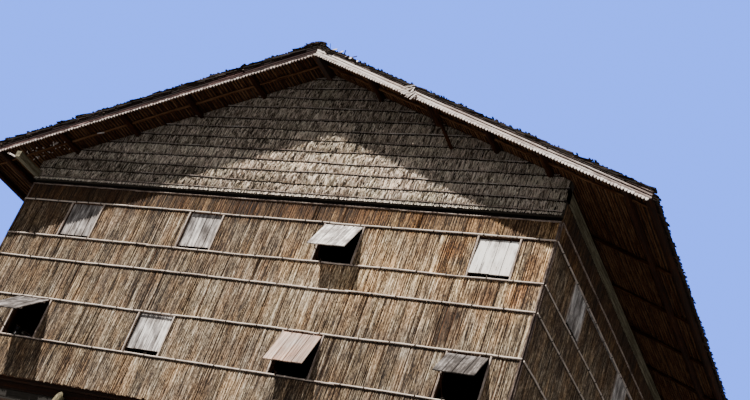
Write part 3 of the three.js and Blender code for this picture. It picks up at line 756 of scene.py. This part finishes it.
def gable(end, seed, look, rod_look, dark_look):
    """Courses of hanging leaf with a thin rod along each foot over a strip of painted shade, on a backing that closes
    the gable.
    """
    pile, rods, shade_pieces = Pile(seed), Pile(seed + 1), Pile(seed + 2)
    rng = pile.rng
    front = end == "front"
    coarse = 1.0 if front else 1.6
    left, right = (WALL_LEFT, WALL_RIGHT) if front else (-WALL_RIGHT, -WALL_LEFT)
    face = -HALF_LENGTH - GABLE_OFF
    bottom = GABLE_FEET[0]
    back = outline((left, bottom), (right, bottom), (right, rake(right) + GABLE_RISE), (0.0, GABLE_TOP),
                   (left, rake(left) + GABLE_RISE))
    pile.sweep(span((0.0, -HALF_LENGTH + 0.09, 0.0), (0.0, face + 0.006, 0.0)), back, -0.4, SKYWARD)
    # A dark board of painted shade under the fringe
    y = -HALF_LENGTH - 0.01
    line = span((left + 0.01, y, FRINGE_BOARD), (right - 0.01, y, FRINGE_BOARD), 12)
    shade_pieces.sweep(line, bevelled(0.06, 0.018, 0.003), -0.5)

    def leaves(x, foot, head, lift, width, ridge, tone, hug=0.2, sway=0.01):
        """Leaf strips, a ridge along each, that stand off more at the foot."""
        n = len(x)
        line = span((x, face - 0.001 - lift * hug, head), (x + rng.normal(0, sway, n), face - lift, foot))
        width = width[:, None]
        peak = width * rng.uniform(-0.3, 0.3, (n, 1))
        pile.sweep(line, leaf(width, ridge[:, None] * (0.3, 1.0), peak), tone)

    for layer, low in enumerate(GABLE_FEET):
        high = [*GABLE_FEET, GABLE_TOP][layer + 1]
        tall, reach = high - low, (GABLE_TOP - low) / SLOPE - 0.05
        x0, x1 = max(left, -reach), min(right, reach)
        if layer == 0:
            x = spaced(rng, x0 + 0.01, x1 - 0.01, FRINGE_STEP, 0.007)
            n = len(x)
            foot = low + rng.uniform(-0.006, 0.014, n)
            leaves(x, foot, high - 0.004, rng.uniform(0.012, 0.018, n), rng.uniform(0.012, 0.022, n),
                   rng.uniform(0.004, 0.007, n), rng.normal(0.86, 0.14, n))
            continue
        # Whole leaves, the length of the course
        shift = COURSE_TONES.get(layer, (0.0, 0.0))
        x = np.arange(x0 + 0.02, x1 - 0.02, LEAF_STEP * coarse)
        n = len(x)
        clump = np.repeat(rng.normal(0, 0.035, n // 3 + 1), 3)[:n]
        x = x + rng.uniform(-0.01, 0.01, n)
        foot = low + course_height(x, layer) + rng.uniform(-0.003, 0.004, n)
        head = np.minimum(high + (course_height(x, layer + 1) - COURSE_LAP), rake(x) + 0.14)
        leaves(x, foot, np.maximum(head, foot + 0.02), rng.uniform(0.01, 0.018, n),
               rng.uniform(0.02, 0.032, n) * coarse, rng.uniform(0.012, 0.02, n),
               rng.normal(0.56, 0.04, n) + clump + np.interp(x, (-1.0, 1.5), shift))
        # Short pale and dark bits of leaf over them
        n = int((x1 - x0) * tall * BITS_PER_AREA / coarse)
        x = rng.uniform(x0, x1, n)
        share = rng.uniform(0.0, 0.9, n)
        foot = low + share * tall + course_height(x, layer)
        length = np.minimum(rng.uniform(0.05, 0.15, n), high + course_height(x, layer + 1) - COURSE_LAP - foot)
        keep = (rake(x) + 0.12 > foot + length) & (length > 0.02)
        x, share, foot, length = x[keep], share[keep], foot[keep], length[keep]
        n = len(x)
        pale = rng.random(n) < PALE_SHARE
        lift = 0.012 * (1 - share) + rng.uniform(0.008, 0.02, n)
        leaves(x, foot, foot + length, lift, rng.uniform(0.011, 0.024, n) * coarse, rng.uniform(0.016, 0.03, n),
               np.where(pale, rng.normal(0.82, 0.09, n), rng.normal(0.28, 0.09, n)) + np.interp(x, (-1.0, 1.5), shift),
               hug=0.75, sway=0.005)
        # The strip of painted shade under each course's foot, fainter towards the left, and its rod
        for a, b in pairwise(fill(rng, x0, x1, 2.6, 0.3)):
            u = np.linspace(a, b, max(4, round((b - a) / 0.16)))
            line = spots(u, face - 0.004, low + course_height(u, layer))[None]
            waver(rng, line, 2, 0.002)
            faint = np.interp(a, (-2.2, -0.6), (0.45, 1.0)) * rng.uniform(0.75, 1.0)
            shade_pieces.sweep(line - (0, 0, 0.012), bevelled(0.034 * faint, 0.008, 0.002), 0.2 + 0.35 * (1 - faint))
            if rng.random() < 0.9:
                rods.sweep(line - (0, 0.032, -0.001), ring(rng.uniform(0.0045, 0.006), 6), rng.uniform(0.25, 0.6))
    # Dark strips of painted shade where the leaves part
    slits = rng.uniform((left + 0.4, bottom + 0.3), (right - 0.4, RIDGE - 0.5), (40, 2))
    slits = slits[rake(slits[:, 0]) - 0.25 > slits[:, 1]]
    if front:
        slits = np.r_[slits, [(-0.41, 13.25), (0.54, 13.23), (1.55, 11.72), (2.2, 11.71), (0.02, 12.3)]]
    n = len(slits)
    x, z = slits.T
    tall = rng.uniform(0.02, 0.042, n)
    tall[-5:] = 0.045
    slant = rng.normal(0.25, 0.15, n) * tall
    line = span((x + slant, face - 0.022, z + tall), (x - slant, face - 0.022 - 0.003, z - tall), 3)
    shade_pieces.sweep(line, flat(rng.uniform(0.012, 0.024, (n, 1)), 0.003), -0.5)
    turn = 0.0 if front else math.pi
    pile.turn(turn).piece(end + "_gable_thatch", look, "gable_thatch", (end + "_gable",))
    rods.turn(turn).piece(end + "_gable_rods", rod_look, "gable_thatch", smooth=50)
    shade_pieces.turn(turn).piece(end + "_gable_painted_shade", dark_look, "gable_thatch")


# ---- roof


def on_roof(side, far, above, y):
    """A point on a slope: distance from the ridge in plan, height above the rake, and place along the house."""
    far = np.asarray(far, float)
    return spots(side * far, y, rake(far) + above)


def along_roof(side, far, above, end, k):
    return span(on_roof(side, far, above, -end), on_roof(side, far, above, end), k)


def slope_up(side):
    up = unit(np.array([SLOPE, 0.0, 1.0]))
    return np.array([side * up[0], 0.0, up[2]])


def verge_lumps(pile, side, end, up):
    """Extra leaf pads along a verge, each thicker at its foot, so that the edge steps from one pad to the next."""
    rng = pile.rng
    feet = fill(rng, 0.6, THATCH_EAVE - 0.02, 0.52, 0.3)
    heads = np.r_[0.3, feet[:-1]] - 0.06
    rise = rng.uniform(0.03, 0.066, len(feet))
    y = end * (VERGE - 0.115 + rng.uniform(-0.008, 0.008, len(feet)))
    line = span(on_roof(side, heads, PAD_RISE, y), on_roof(side, feet, PAD_RISE + rise, y), 4)
    pile.sweep(line, bevelled(0.2, 0.034, 0.008), rng.normal(0.16, 0.1, len(feet)), up)
    n = 300
    far = rng.uniform(0.34, THATCH_EAVE - 0.05, n)
    pad = np.minimum(np.searchsorted(feet, far), len(feet) - 1)
    share = np.clip((far - heads[pad]) / (feet[pad] - heads[pad]), 0, 1)
    above = PAD_RISE + rise[pad] * share + rng.uniform(-0.04, 0.026, n)
    a = on_roof(side, far, above - 0.004, end * (VERGE - 0.1))
    tip = np.minimum(far + rng.normal(0.01, 0.02, n), THATCH_EAVE - 0.03)
    b = on_roof(side, tip, above + rng.uniform(-0.01, 0.008, n), end * (VERGE + rng.uniform(-0.016, 0.018, n)))
    section = flat(rng.uniform(0.018, 0.05, (n, 1)), rng.uniform(0.008, 0.018, (n, 1)))
    pile.sweep(span(a, b), section, rng.normal(0.24, 0.15, n), up)
    n = 150
    pad = rng.integers(0, len(feet), n)
    y = end * (VERGE - rng.uniform(0.012, 0.23, n))
    tip = np.minimum(feet[pad] + rng.uniform(-0.1, 0.035, n), THATCH_EAVE - 0.012)
    a = on_roof(side, np.maximum(tip - 0.26, 0.3), 0.276 + 0.35 * rise[pad], y)
    b = on_roof(side, tip, 0.284 + rise[pad] + rng.uniform(-0.004, 0.016, n), y + rng.normal(0, 0.01, n))
    b[:, 1] = within(b[:, 1], VERGE)
    pile.sweep(span(a, b), leaf(rng.uniform(0.036, 0.07, (n, 1))), rng.normal(0.45, 0.17, n), up)


def roof_thatch(side, name, seed, look):
    """Leaf courses over boards of packed leaf, with layered edges at the verges and a frayed eave."""
    pile = Pile(seed)
    rng = pile.rng
    up = slope_up(side)
    right = side > 0
    run = 1 / math.hypot(1, SLOPE)
    pitch = LEAF_COURSE * run
    ends = VERGE - (0.26 if right else 0.045)
    # Courses, each a backing and its leaves
    for course in range(math.ceil((THATCH_EAVE - 0.02) / pitch)):
        foot = THATCH_EAVE - 0.015 - course * pitch
        head = max(foot - BACKING_LENGTH * run, 0.01)
        line = sum(along_roof(side, far, rise, ends, 16) for far, rise in zip((head, foot), BACKING_RISE)) / 2
        waver(rng, line, 2, 0.006)
        pile.sweep(line, bevelled(min(foot, BACKING_LENGTH), 0.045, 0.01), 0.25, up)
        y = spaced(rng, -VERGE, VERGE, LEAF_PITCH, 0.018)
        n = len(y)
        sink = 0.045 * (np.abs(y) > VERGE - 0.22) * right
        y = within(y, VERGE - 0.004)
        sag = 0.01 * np.sin(y * 0.9 + course * 1.7) + 0.006 * np.sin(y * 3.1 + course)
        tip = np.minimum(foot + rng.uniform(-0.035, 0.012, n) + sag, THATCH_EAVE - 0.01)
        swing = rng.normal(0, 0.018, n)
        a = on_roof(side, np.maximum(tip - 0.27, 0.004), ROOT_RISE - sink, y)
        b = on_roof(side, tip, TIP_RISE + rng.uniform(0, 0.024, n) - sink, within(y + swing, VERGE - 0.002))
        pile.sweep(span(a, b), leaf(rng.uniform(0.046, 0.082, (n, 1))), rng.normal(0.5, 0.17, n), up)
    # Verges: a stack of pads, and leaf ends that stick out of it
    drop = 0.045 * right
    for end in (-1, 1):
        foot = np.r_[np.arange(0.25, THATCH_EAVE - 0.01, 0.135), THATCH_EAVE - 0.02]
        n = len(foot)
        foot = np.minimum(foot + rng.uniform(-0.04, 0.04, n), THATCH_EAVE - 0.01)
        head = np.maximum(foot - rng.uniform(0.5, 0.8, n), 0.004)
        thick = rng.uniform(0.026, 0.036, n)
        y = end * (VERGE - 0.05 + rng.uniform(-0.012, 0.006, n))
        a = on_roof(side, head, 0.212 - drop / 2, y)
        line = span(a, on_roof(side, foot, rng.uniform(0.255, 0.292, n) - drop, y), 5)
        line[:, 1:-1, 2] += rng.normal(0, 0.003, (n, 3))
        pile.sweep(line, bevelled(0.13, thick[:, None], 0.007), rng.normal(0.14, 0.12, n), up)
        far = spaced(rng, 0.05, THATCH_EAVE - 0.06, 0.034, 0.015)
        n = len(far)
        clumps = 0.016 * np.sin(far * 2.9 + side + end) * np.sin(far * 7.3) + 0.008 * np.sin(far * 17.0 + 2.0)
        above = 0.205 + 0.098 * rng.random(n) ** 0.5 if right else rng.uniform(0.165, 0.306, n)
        above = above - drop + clumps * (far > 0.5)
        a = on_roof(side, far, above - 0.01, end * (VERGE - 0.12))
        tip = np.minimum(far + rng.normal(0.01, 0.02, n), THATCH_EAVE - 0.03)
        b = on_roof(side, tip, above + rng.uniform(-0.006, 0.01, n), end * (VERGE + rng.uniform(-0.006, 0.022, n)))
        section = flat(rng.uniform(0.014, 0.046, (n, 1)), rng.uniform(0.006, 0.018, (n, 1)))
        pile.sweep(span(a, b), section, rng.normal(0.26, 0.16, n), up)
        if not right:
            verge_lumps(pile, side, end, up)
    # Eave
    y = spaced(rng, -VERGE + 0.02, VERGE - 0.02, 0.034, 0.012)
    n = len(y)
    tip = THATCH_EAVE - rng.uniform(0.008, 0.035, n)
    a = on_roof(side, tip - 0.3, 0.235, y)
    b = on_roof(side, tip, rng.uniform(0.15, 0.235, n), y + rng.normal(0, 0.012, n))
    pile.sweep(span(a, b, 3), flat(rng.uniform(0.018, 0.036, (n, 1)), 0.006), rng.normal(0.45, 0.16, n), up)
    pile.piece(name + "_thatch_leaves", look, "roof_thatch", (name + "_roof_thatch",))


# The outline of the cap's left clump in the photo, and of the slope right of it: x and z
CLUMP = np.array([(-0.34, 14.178), (-0.286, 14.217), (-0.24, 14.27), (-0.15, 14.308), (-0.02, 14.32), (0.05, 14.3),
                  (0.12, 14.235), (0.17, 14.17)]).T
SHOULDER = np.array([(0.14, 14.1), (0.44, 14.07), (0.62, 14.03), (0.8, 13.95), (0.95, 13.865)]).T
# Broken sticks at each end of the cap: from, to (x and z), width and tone
BROKEN = [((0.14, 14.128), (0.448, 14.124), 0.026, 0.8), ((0.44, 14.085), (0.6, 14.08), 0.026, 1.05),
          ((0.585, 14.04), (0.636, 14.108), 0.022, 0.0), ((0.6, 14.005), (0.823, 13.914), 0.036, 1.0),
          ((0.68, 13.965), (0.92, 13.961), 0.022, 0.0), ((0.84, 13.925), (0.984, 13.842), 0.034, 0.95),
          ((0.262, 14.12), (0.249, 14.267), 0.007, 0.0), ((0.17, 14.12), (0.122, 14.267), 0.007, 0.0),
          ((0.3, 14.07), (0.54, 14.05), 0.026, 0.4), ((0.48, 14.02), (0.72, 13.955), 0.024, 0.15)]
# Frayed strands of the right verge board: from, to (x and z) and width
STRANDS = [((2.29, 13.315), (2.04, 13.262), 0.012), ((2.29, 13.309), (2.1, 13.176), 0.014),
           ((2.3, 13.3), (2.255, 13.14), 0.024), ((2.38, 13.153), (2.185, 13.08), 0.018),
           ((2.385, 13.146), (2.3, 13.028), 0.026), ((2.14, 13.135), (2.285, 13.19), 0.01),
           ((2.28, 13.29), (2.095, 13.13), 0.01), ((2.31, 13.33), (2.12, 13.29), 0.01),
           ((2.36, 13.2), (2.24, 13.055), 0.012)]


CAP_LIFTS, CAP_POLES, CAP_PINS, CAP_TOP = (0.322, 0.337), 0.346, 0.9, 14.36


def ridge_cap(look, stick_look):
    """Bent leaves over the ridge, held by poles and pins, with a clump and broken sticks at each end."""
    pile, sticks = Pile(61), Pile(62)
    rng = pile.rng
    t = np.array([-1, -0.55, -0.18, 0.18, 0.55, 1.0])
    for lift in CAP_LIFTS:
        y = within(spaced(rng, -VERGE - 0.02, VERGE + 0.03, 0.05, 0.012), VERGE)
        n = len(y)
        near = np.abs(y) > VERGE - 0.3
        left, right = rng.uniform(0.27, 0.375, (2, n)) * np.where(near, [[0.88], [0.42]], 1.0)
        x = t * np.where(t < 0, left[:, None], right[:, None])
        z = RIDGE + lift - SLOPE * np.sqrt(x ** 2 + 0.004) + rng.uniform(-0.008, 0.008, (n, 1))
        z[:, [0, -1]] -= rng.uniform(0.0, 0.012, (n, 2))
        line = np.stack([x, within(y[:, None] + t * rng.normal(0, 0.02, (n, 1)), VERGE + 0.008), z], -1)
        pile.sweep(line, flat(rng.uniform(0.032, 0.062, (n, 1)), 0.007), rng.normal(0.4, 0.15, n), SKYWARD)
    for end in (-1, 1):
        n = 150
        x = rng.uniform(-0.3, 0.15, n)
        limit = np.interp(x, *CLUMP) - rng.uniform(0.0, 0.05, n)
        deep = rng.uniform(0.06, 0.34, n)
        high = np.interp(x + rng.uniform(-0.03, 0.02, n), *CLUMP) - rng.uniform(0.0, 0.045, n)
        a = spots(x, end * (VERGE - deep), np.minimum(limit + 0.02, CAP_TOP))
        b = spots(x + rng.uniform(-0.05, 0.03, n), end * (VERGE + rng.uniform(-0.02, 0.028, n)), high)
        section = bevelled(rng.uniform(0.018, 0.042, (n, 1)), 0.012, 0.003)
        pile.sweep(span(a, b, 3), section, rng.normal(0.3, 0.15, n), SKYWARD)
    for end in (-1, 1):
        n = 110
        x = rng.uniform(0.14, 0.93, n)
        high = np.interp(x, *SHOULDER) - rng.uniform(0.0, 0.06, n)
        a = spots(x - 0.07, end * (VERGE - rng.uniform(0.06, 0.3, n)), rake(x - 0.07) + 0.21)
        b = spots(x + rng.uniform(-0.02, 0.05, n), end * (VERGE + rng.uniform(-0.03, 0.02, n)), high)
        pile.sweep(span(a, b, 3), flat(rng.uniform(0.016, 0.04, (n, 1)), 0.01), rng.normal(0.32, 0.15, n), SKYWARD)
    for x, back in ((-0.3, 0.0), (0.3, 0.35)):
        for a, b in pairwise(fill(rng, -VERGE, VERGE - back, 3.4, 0.2)):
            z = rake(x) + CAP_POLES
            line = span((x, max(a - 0.04, -VERGE + back), z), (x, b, z), 12)
            waver(rng, line, 0, 0.012)
            sticks.sweep(line, ring(0.013, 7), out=SKYWARD)
    pins = spaced(rng, -9.9, 10.0, CAP_PINS, 0.15)
    for s in (-1, 1):
        b = (-s * 0.06, pins + rng.normal(0, 0.03, len(pins)), RIDGE + 0.35)
        sticks.sweep(span((s * 0.36, pins, rake(0.36) + 0.335), b, 3), ring(0.008, 6), out=(0.0, 1.0, 0.0))
    for (x0, z0), (x1, z1), wide, tone in BROKEN:
        line = span((x0, -VERGE + 0.05, z0 - 0.03), (x1, -VERGE - 0.026, z1), 4)
        line[0, 1:3, 2] += 0.016
        sticks.sweep(line, flat(wide, 0.01), tone)
    pile.piece("ridge_cap_leaves", look, "roof_thatch", ("ridge_cap",))
    sticks.piece("ridge_sticks", stick_look, "roof_thatch", smooth=50)


def frayed(stick_look, dark_look):
    """The loose ends at the front verge: a frayed bundle with a painted shadow under each strand, a tuft, two brackets,
    the stick at the left corner, and pale flecks of painted light under the soffit.
    """
    pile, dark = Pile(63), Pile(64)
    rng = pile.rng
    for i, ((x0, z0), (x1, z1), wide) in enumerate(STRANDS):
        line = span((x0, -VERGE - 0.01 - 0.002 * i, z0), (x1, -VERGE - 0.012 - 0.002 * i, z1), 5)
        line[0, 1:4, 2] += rng.normal(0, 0.006, 3)
        pile.sweep(line, flat(wide, 0.003), 0.75 + 0.15 * (i % 3))
        # A dark strip under each strand: its painted shadow
        dark.sweep(line + (0.004, 0.0015, -0.75 * wide), flat(0.01, 0.003), 0.1)
    pile.sweep(span((-6.16, -10.36, 11.486), (-5.905, -10.36, 11.4), 4), bevelled(0.034, 0.012, 0.003), 0.75)
    pile.sweep(span((-4.45, -10.1, 12.238), (-4.29, -10.1, 12.262)), flat(0.022, 0.006), 1.0)
    # Painted light: pale flecks under the soffit by the left corner, where the sun shows through the thatch
    x, y = rng.uniform((-6.2, -10.12), (-5.25, -9.8), (44, 2)).T
    a = spots(x, y, rake(x) + 0.15)
    b = a + rng.normal(0, 1, (44, 3)) * (0.02, 0.02, 0.0) - (0, 0, 0.022)
    pile.sweep(span(a, b), flat(0.02, 0.004), 1.2)
    dark.sweep(span((2.4, -VERGE - 0.02, 13.1), (2.41, -VERGE - 0.02, 13.00)), flat(0.01, 0.004), 0.0)
    x = rng.uniform(3.26, 3.33, 14)
    b = (x + rng.normal(-0.01, 0.012, 14), -VERGE + rng.uniform(-0.02, 0.02, 14),
         rake(x) + 0.27 + rng.uniform(-0.02, 0.02, 14))
    dark.sweep(span((x, -VERGE + 0.03, rake(x) + 0.19), b, 3), flat(0.016, 0.006), 0.1)
    for a, b in (((2.66, -10.2, 12.99), (2.89, -10.2, 12.65)), ((2.76, -10.37, 12.94), (2.98, -9.7, 12.55))):
        dark.sweep(span(a, b, 4), bevelled(0.06, 0.05, 0.01), 0.35)
    pile.piece("verge_frays", stick_look, "bargeboard")
    dark.piece("verge_brackets", dark_look, "roof_frame")


RAFTER_RADIUS, END_RAFTER_RADIUS, LATH_STEP = 0.034, 0.024, 0.06


def roof_frame(side, name, seed, look):
    """Round rafters, hewn purlins, and close laths that carry the thatch."""
    pile = Pile(seed)
    rng = pile.rng
    up = slope_up(side)
    end = VERGE - 0.042
    for x in PURLINS[side]:
        line = along_roof(side, x, PURLIN_RISE, end, 40)
        waver(rng, line, 0, 0.012)
        waver(rng, line, 2, 0.006)
        hewn = bevelled(0.095, 0.115, 0.022) * (1 + rng.normal(0, 0.02, (1, 40, 8, 2)))
        pile.sweep(line, hewn, rng.uniform(0.05, 0.3) - 0.14 * (side > 0), up)
    for y in RAFTERS:
        outer = abs(y) == 10
        line = span(on_roof(side, 0.06, RAFTER_RISE, y), on_roof(side, EAVE - 0.03, RAFTER_RISE, y), 18)
        waver(rng, line, 1, 0.012)
        radii = (END_RAFTER_RADIUS if outer else RAFTER_RADIUS) * (1 + rng.normal(0, 0.04, (1, 18)))
        pile.sweep(line, ring(radii, 10), rng.uniform(0.3, 0.6) + 0.34 * outer, up)
    line = along_roof(side, np.arange(0.1, EAVE - 0.02, LATH_STEP), LATH_RISE, end, 10)
    n = len(line)
    waver(rng, line, 0, 0.008)
    pile.sweep(line, flat(rng.uniform(0.026, 0.034, (n, 1)), 0.014), rng.normal(0.76, 0.05, n), up)
    pile.piece(name + "_roof_poles", look, "roof_frame", (name + "_roof_lattice",), smooth=40)


# Rows of planks: bottom and top over the rake, and how proud they stand; their tones; and the board behind them
BARGE_ROWS = [(0.05, 0.094, 0.002), (0.112, 0.147, 0.0), (0.166, 0.199, 0.003)]
# The left boards' darker tones are partly painted shade of the thatch that overhangs them
BARGE_TONES = {"right": (0.98, 0.88, 0.72), "left": (0.42, 0.1, 0.0)}
BARGE_BACKING = 0.118
# A tooth under the verge boards: shares of its half width and of its depth
TOOTH_STEP, TOOTH_HALF, TOOTH_DEPTH, TEETH_RISE = 0.0585, 0.0285, 0.052, 0.054
TOOTH = [(-1, 0.0), (-1, 0.3), (-0.55, 0.85), (-0.15, 1.0), (0.15, 1.0), (0.55, 0.85), (1, 0.3), (1, 0.0)]


def bargeboard(end, name, seed, look, teeth_look):
    """Three rows of planks on a backing board, with a row of teeth along the lower edge."""
    side = {"left": -1, "right": 1}[name]
    sign = {"front": -1, "rear": 1}[end]
    pile, teeth = Pile(seed), Pile(seed + 5)
    rng = pile.rng
    out = (0.0, float(sign), 0.0)
    right = name == "right"
    y = sign * (VERGE - 0.031)
    line = span(on_roof(side, 0.004, BARGE_BACKING, y), on_roof(side, EAVE - 0.004, BARGE_BACKING, y), 12)
    pile.sweep(line, bevelled(0.15, 0.016, 0.002), -0.45, out)
    for (low, high, proud), tone in zip(BARGE_ROWS, BARGE_TONES[name]):
        edges = fill(rng, 0.0, EAVE, 2.6, 0.35)
        n = len(edges) - 1
        middle, y = (low + high) / 2, sign * (VERGE - 0.016 + proud)
        line = span(on_roof(side, edges[:-1] + 0.003, middle, y), on_roof(side, edges[1:] - 0.003, middle, y), 7)
        line[:, 1:-1, 2] += rng.normal(0, 0.0015, (n, 5))
        wear = np.abs(line[..., 0]) * right
        section = bevelled(high - low - 0.002 * wear, 0.016, 0.002)
        pile.sweep(line, section, tone + rng.uniform(-0.12, 0.12, (n, 1)) - 0.07 * wear, out)
    far = np.arange(0.03, EAVE - 0.01, TOOTH_STEP)
    n = len(far)
    down = TOOTH_DEPTH + rng.uniform(-0.004, 0.001, n)
    half = TOOTH_HALF * rng.uniform(0.94, 1.0, n)
    shape = outline(*[(half * u, -down * v) for u, v in TOOTH])[:, None]
    a = on_roof(side, far, TEETH_RISE, sign * (VERGE - 0.03))
    b = on_roof(side, far, TEETH_RISE, sign * (VERGE - 0.01 + rng.uniform(-0.003, 0.003, n)))
    # The left teeth are darker, partly painted shade
    teeth.sweep(span(a, b), shape, (0.92 if right else 0.66) + rng.uniform(-0.2, 0.12, n), slope_up(side))
    pile.piece(f"{end}_{name}_verge_boards", look, "bargeboard", (f"{end}_{name}_bargeboard",))
    teeth.piece(f"{end}_{name}_verge_teeth", teeth_look, "bargeboard")


# ---- posts and lower floor


POST_RADIUS, POST_TAPER, LUG_RADIUS = 0.124, 0.02, 0.104
LUG_STEPS = [(6.96, 0.84), (7.02, 0.66), (7.064, 0.42), (7.09, 0.13)]  # height and share of the radius


def post_frames(look):
    """Rows of posts under hewn cap beams; the outer rows end in carved lugs."""
    n, k, sides = len(POST_LINES), 14, 20
    for i, y in enumerate(POST_ROWS):
        pile = Pile(700 + i)
        rng = pile.rng
        outer = abs(y) > END_BEAM
        sign = math.copysign(1, y)
        line = span((POST_LINES, y, POST_FOOT), (POST_LINES, y, POST_HEAD), k)
        line[:, 2:-1, :2] += rng.normal(0, 0.002, (n, k - 3, 2))
        radius = (POST_RADIUS - POST_TAPER * np.linspace(0, 1, k))[None, :] * (1 + rng.normal(0, 0.012, (n, k)))
        if outer:
            line[:, -2, 2] = 6.9
            radius[:, -1] *= 0.8
        waves = np.sin(np.arange(sides) * 2 * math.pi * 3 / sides + rng.uniform(0, 6, (n, 1)))
        lobes = np.minimum(1 + 0.035 * waves + rng.normal(0, 0.01, (n, sides)), 1.0)
        pile.sweep(line, ring(radius, sides) * lobes[:, None, :, None], rng.uniform(0.4, 0.6, n))
        face = sign * END_BEAM if outer else y
        line = span((WALL_LEFT + 0.062, face, CAP_BEAM), (WALL_RIGHT - 0.062, face, CAP_BEAM), 24)
        hewn = bevelled(0.116 if outer else 0.138, 0.156, 0.014) * (1 + rng.normal(0, 0.006, (1, 24, 8, 2)))
        # Painted shade: the cap beams near black, as in the shade of the floor
        pile.sweep(line, hewn, -0.6, SKYWARD)
        if outer:
            angles = np.linspace(0.5, -0.5, 9) * math.pi * 0.8
            lug = outline(*[(LUG_RADIUS * math.sin(a), LUG_RADIUS * math.cos(a)) for a in angles])
            lug = lug[None, None] * np.array([share for _, share in LUG_STEPS])[None, :, None, None]
            line = np.stack([spots(POST_LINES, y, z) for z, _ in LUG_STEPS], 1)
            pile.sweep(line, lug, 0.36, (0.0, sign, 0.0))
        pile.piece(f"post_row_{i + 1}", look, "post", (f"post_frame_{i + 1}",), smooth=35)


FLOOR_BOARD, JOIST_COUNT = 0.21, 7


def lower_floor(look):
    """Boards on seven joists along the house, between two end beams."""
    pile = Pile(720)
    rng = pile.rng
    left, right = WALL_LEFT + 0.04, WALL_RIGHT - 0.04
    edges = fill(rng, -HALF_LENGTH + 0.04, HALF_LENGTH - 0.04, FLOOR_BOARD, 0.2)
    n = len(edges) - 1
    middle = (edges[1:] + edges[:-1]) / 2
    width = (edges[1:] - edges[:-1] - 0.006)[:, None]
    a = (left + rng.uniform(0, 0.01, n), middle, BOARDS)
    line = span(a, (right - rng.uniform(0, 0.01, n), middle, BOARDS), 3)
    tone = rng.uniform(0.35, 0.65, n)
    # Painted shade: the end boards, under the walls, almost black
    tone[[0, -1]] = 0.02
    pile.sweep(line, bevelled(width, 0.058, 0.005), tone, SKYWARD)
    x = left + 0.06 + (right - left - 0.12) * np.arange(JOIST_COUNT) / (JOIST_COUNT - 1)
    line = span((x, -END_BEAM, JOISTS), (x, END_BEAM, JOISTS), 20)
    line[:, 1:-1, 0] += rng.normal(0, 0.002, (JOIST_COUNT, 18))
    pile.sweep(line, bevelled(0.078, 0.138, 0.008), rng.uniform(0.35, 0.6, JOIST_COUNT), SKYWARD)
    for y in (-END_BEAM, END_BEAM):
        line = span((left + 0.005, y, END_JOISTS), (right - 0.005, y, END_JOISTS), 20)
        # Painted shade: the end beams, under the walls, almost black
        pile.sweep(line, bevelled(0.118, 0.139, 0.012), 0.05, SKYWARD)
    pile.piece("lower_floor_boards", look, "floor", ("lower_floor",))


def dress_solids(look):
    """The looks of the solids that show behind the pieces."""
    for name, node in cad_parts.items():
        kind = "wall_inside" if name.endswith("_wall") else name if name in ("upper_floor", "ridge_beam") else "beam"
        node.data.materials.clear()
        node.data.materials.append(look[kind])


def stage():
    half = 60.0
    mesh = bpy.data.meshes.new("stage_floor")
    mesh.from_pydata([(-half, -half, 0), (half, -half, 0), (half, half, 0), (-half, half, 0)], [], [(0, 1, 2, 3)])
    made = placed("stage_floor", mesh)
    look = Look("pale_floor")
    grain = look.noise(3.0)
    look.finish(look.ramp(grain, (0.3, 0.6, 0.59, 0.57), (0.7, 0.64, 0.63, 0.61)), grain, 0.001, 0.9)
    mesh.materials.append(look.material)
    made.visible_diffuse = False


def main():
    camera()
    light()
    look = looks()
    for i, side in enumerate(SIDES):
        slats(side, 100 + i, look["front_slat" if side == "front" else "slat"])
        battens(side, 200 + 10 * i, look["cane"], look["lashing"])
        if side != "front":
            shutter_rows(side, 320 + 10 * i, look["grey_board"])
    front_shutters(look["grey_board"], look["warm_board"], look["frame"])
    for i, end in enumerate(("front", "rear")):
        gable(end, 500 + 10 * i, look["gable_leaf"], look["pole"], look["shade_paint"])
        for j, (name, board) in enumerate((("left", "dark_board"), ("right", "verge_board"))):
            bargeboard(end, name, 520 + 10 * i + j, look[board], look["verge_board"])
    for i, (side, name) in enumerate(((-1, "left"), (1, "right"))):
        roof_thatch(side, name, 600 + i, look["roof_leaf"])
        roof_frame(side, name, 620 + i, look["frame"])
    ridge_cap(look["roof_leaf"], look["pole"])
    frayed(look["pole"], look["frame"])
    post_frames(look["post"])
    lower_floor(look["floor"])
    dress_solids(look)
    stage()


main()
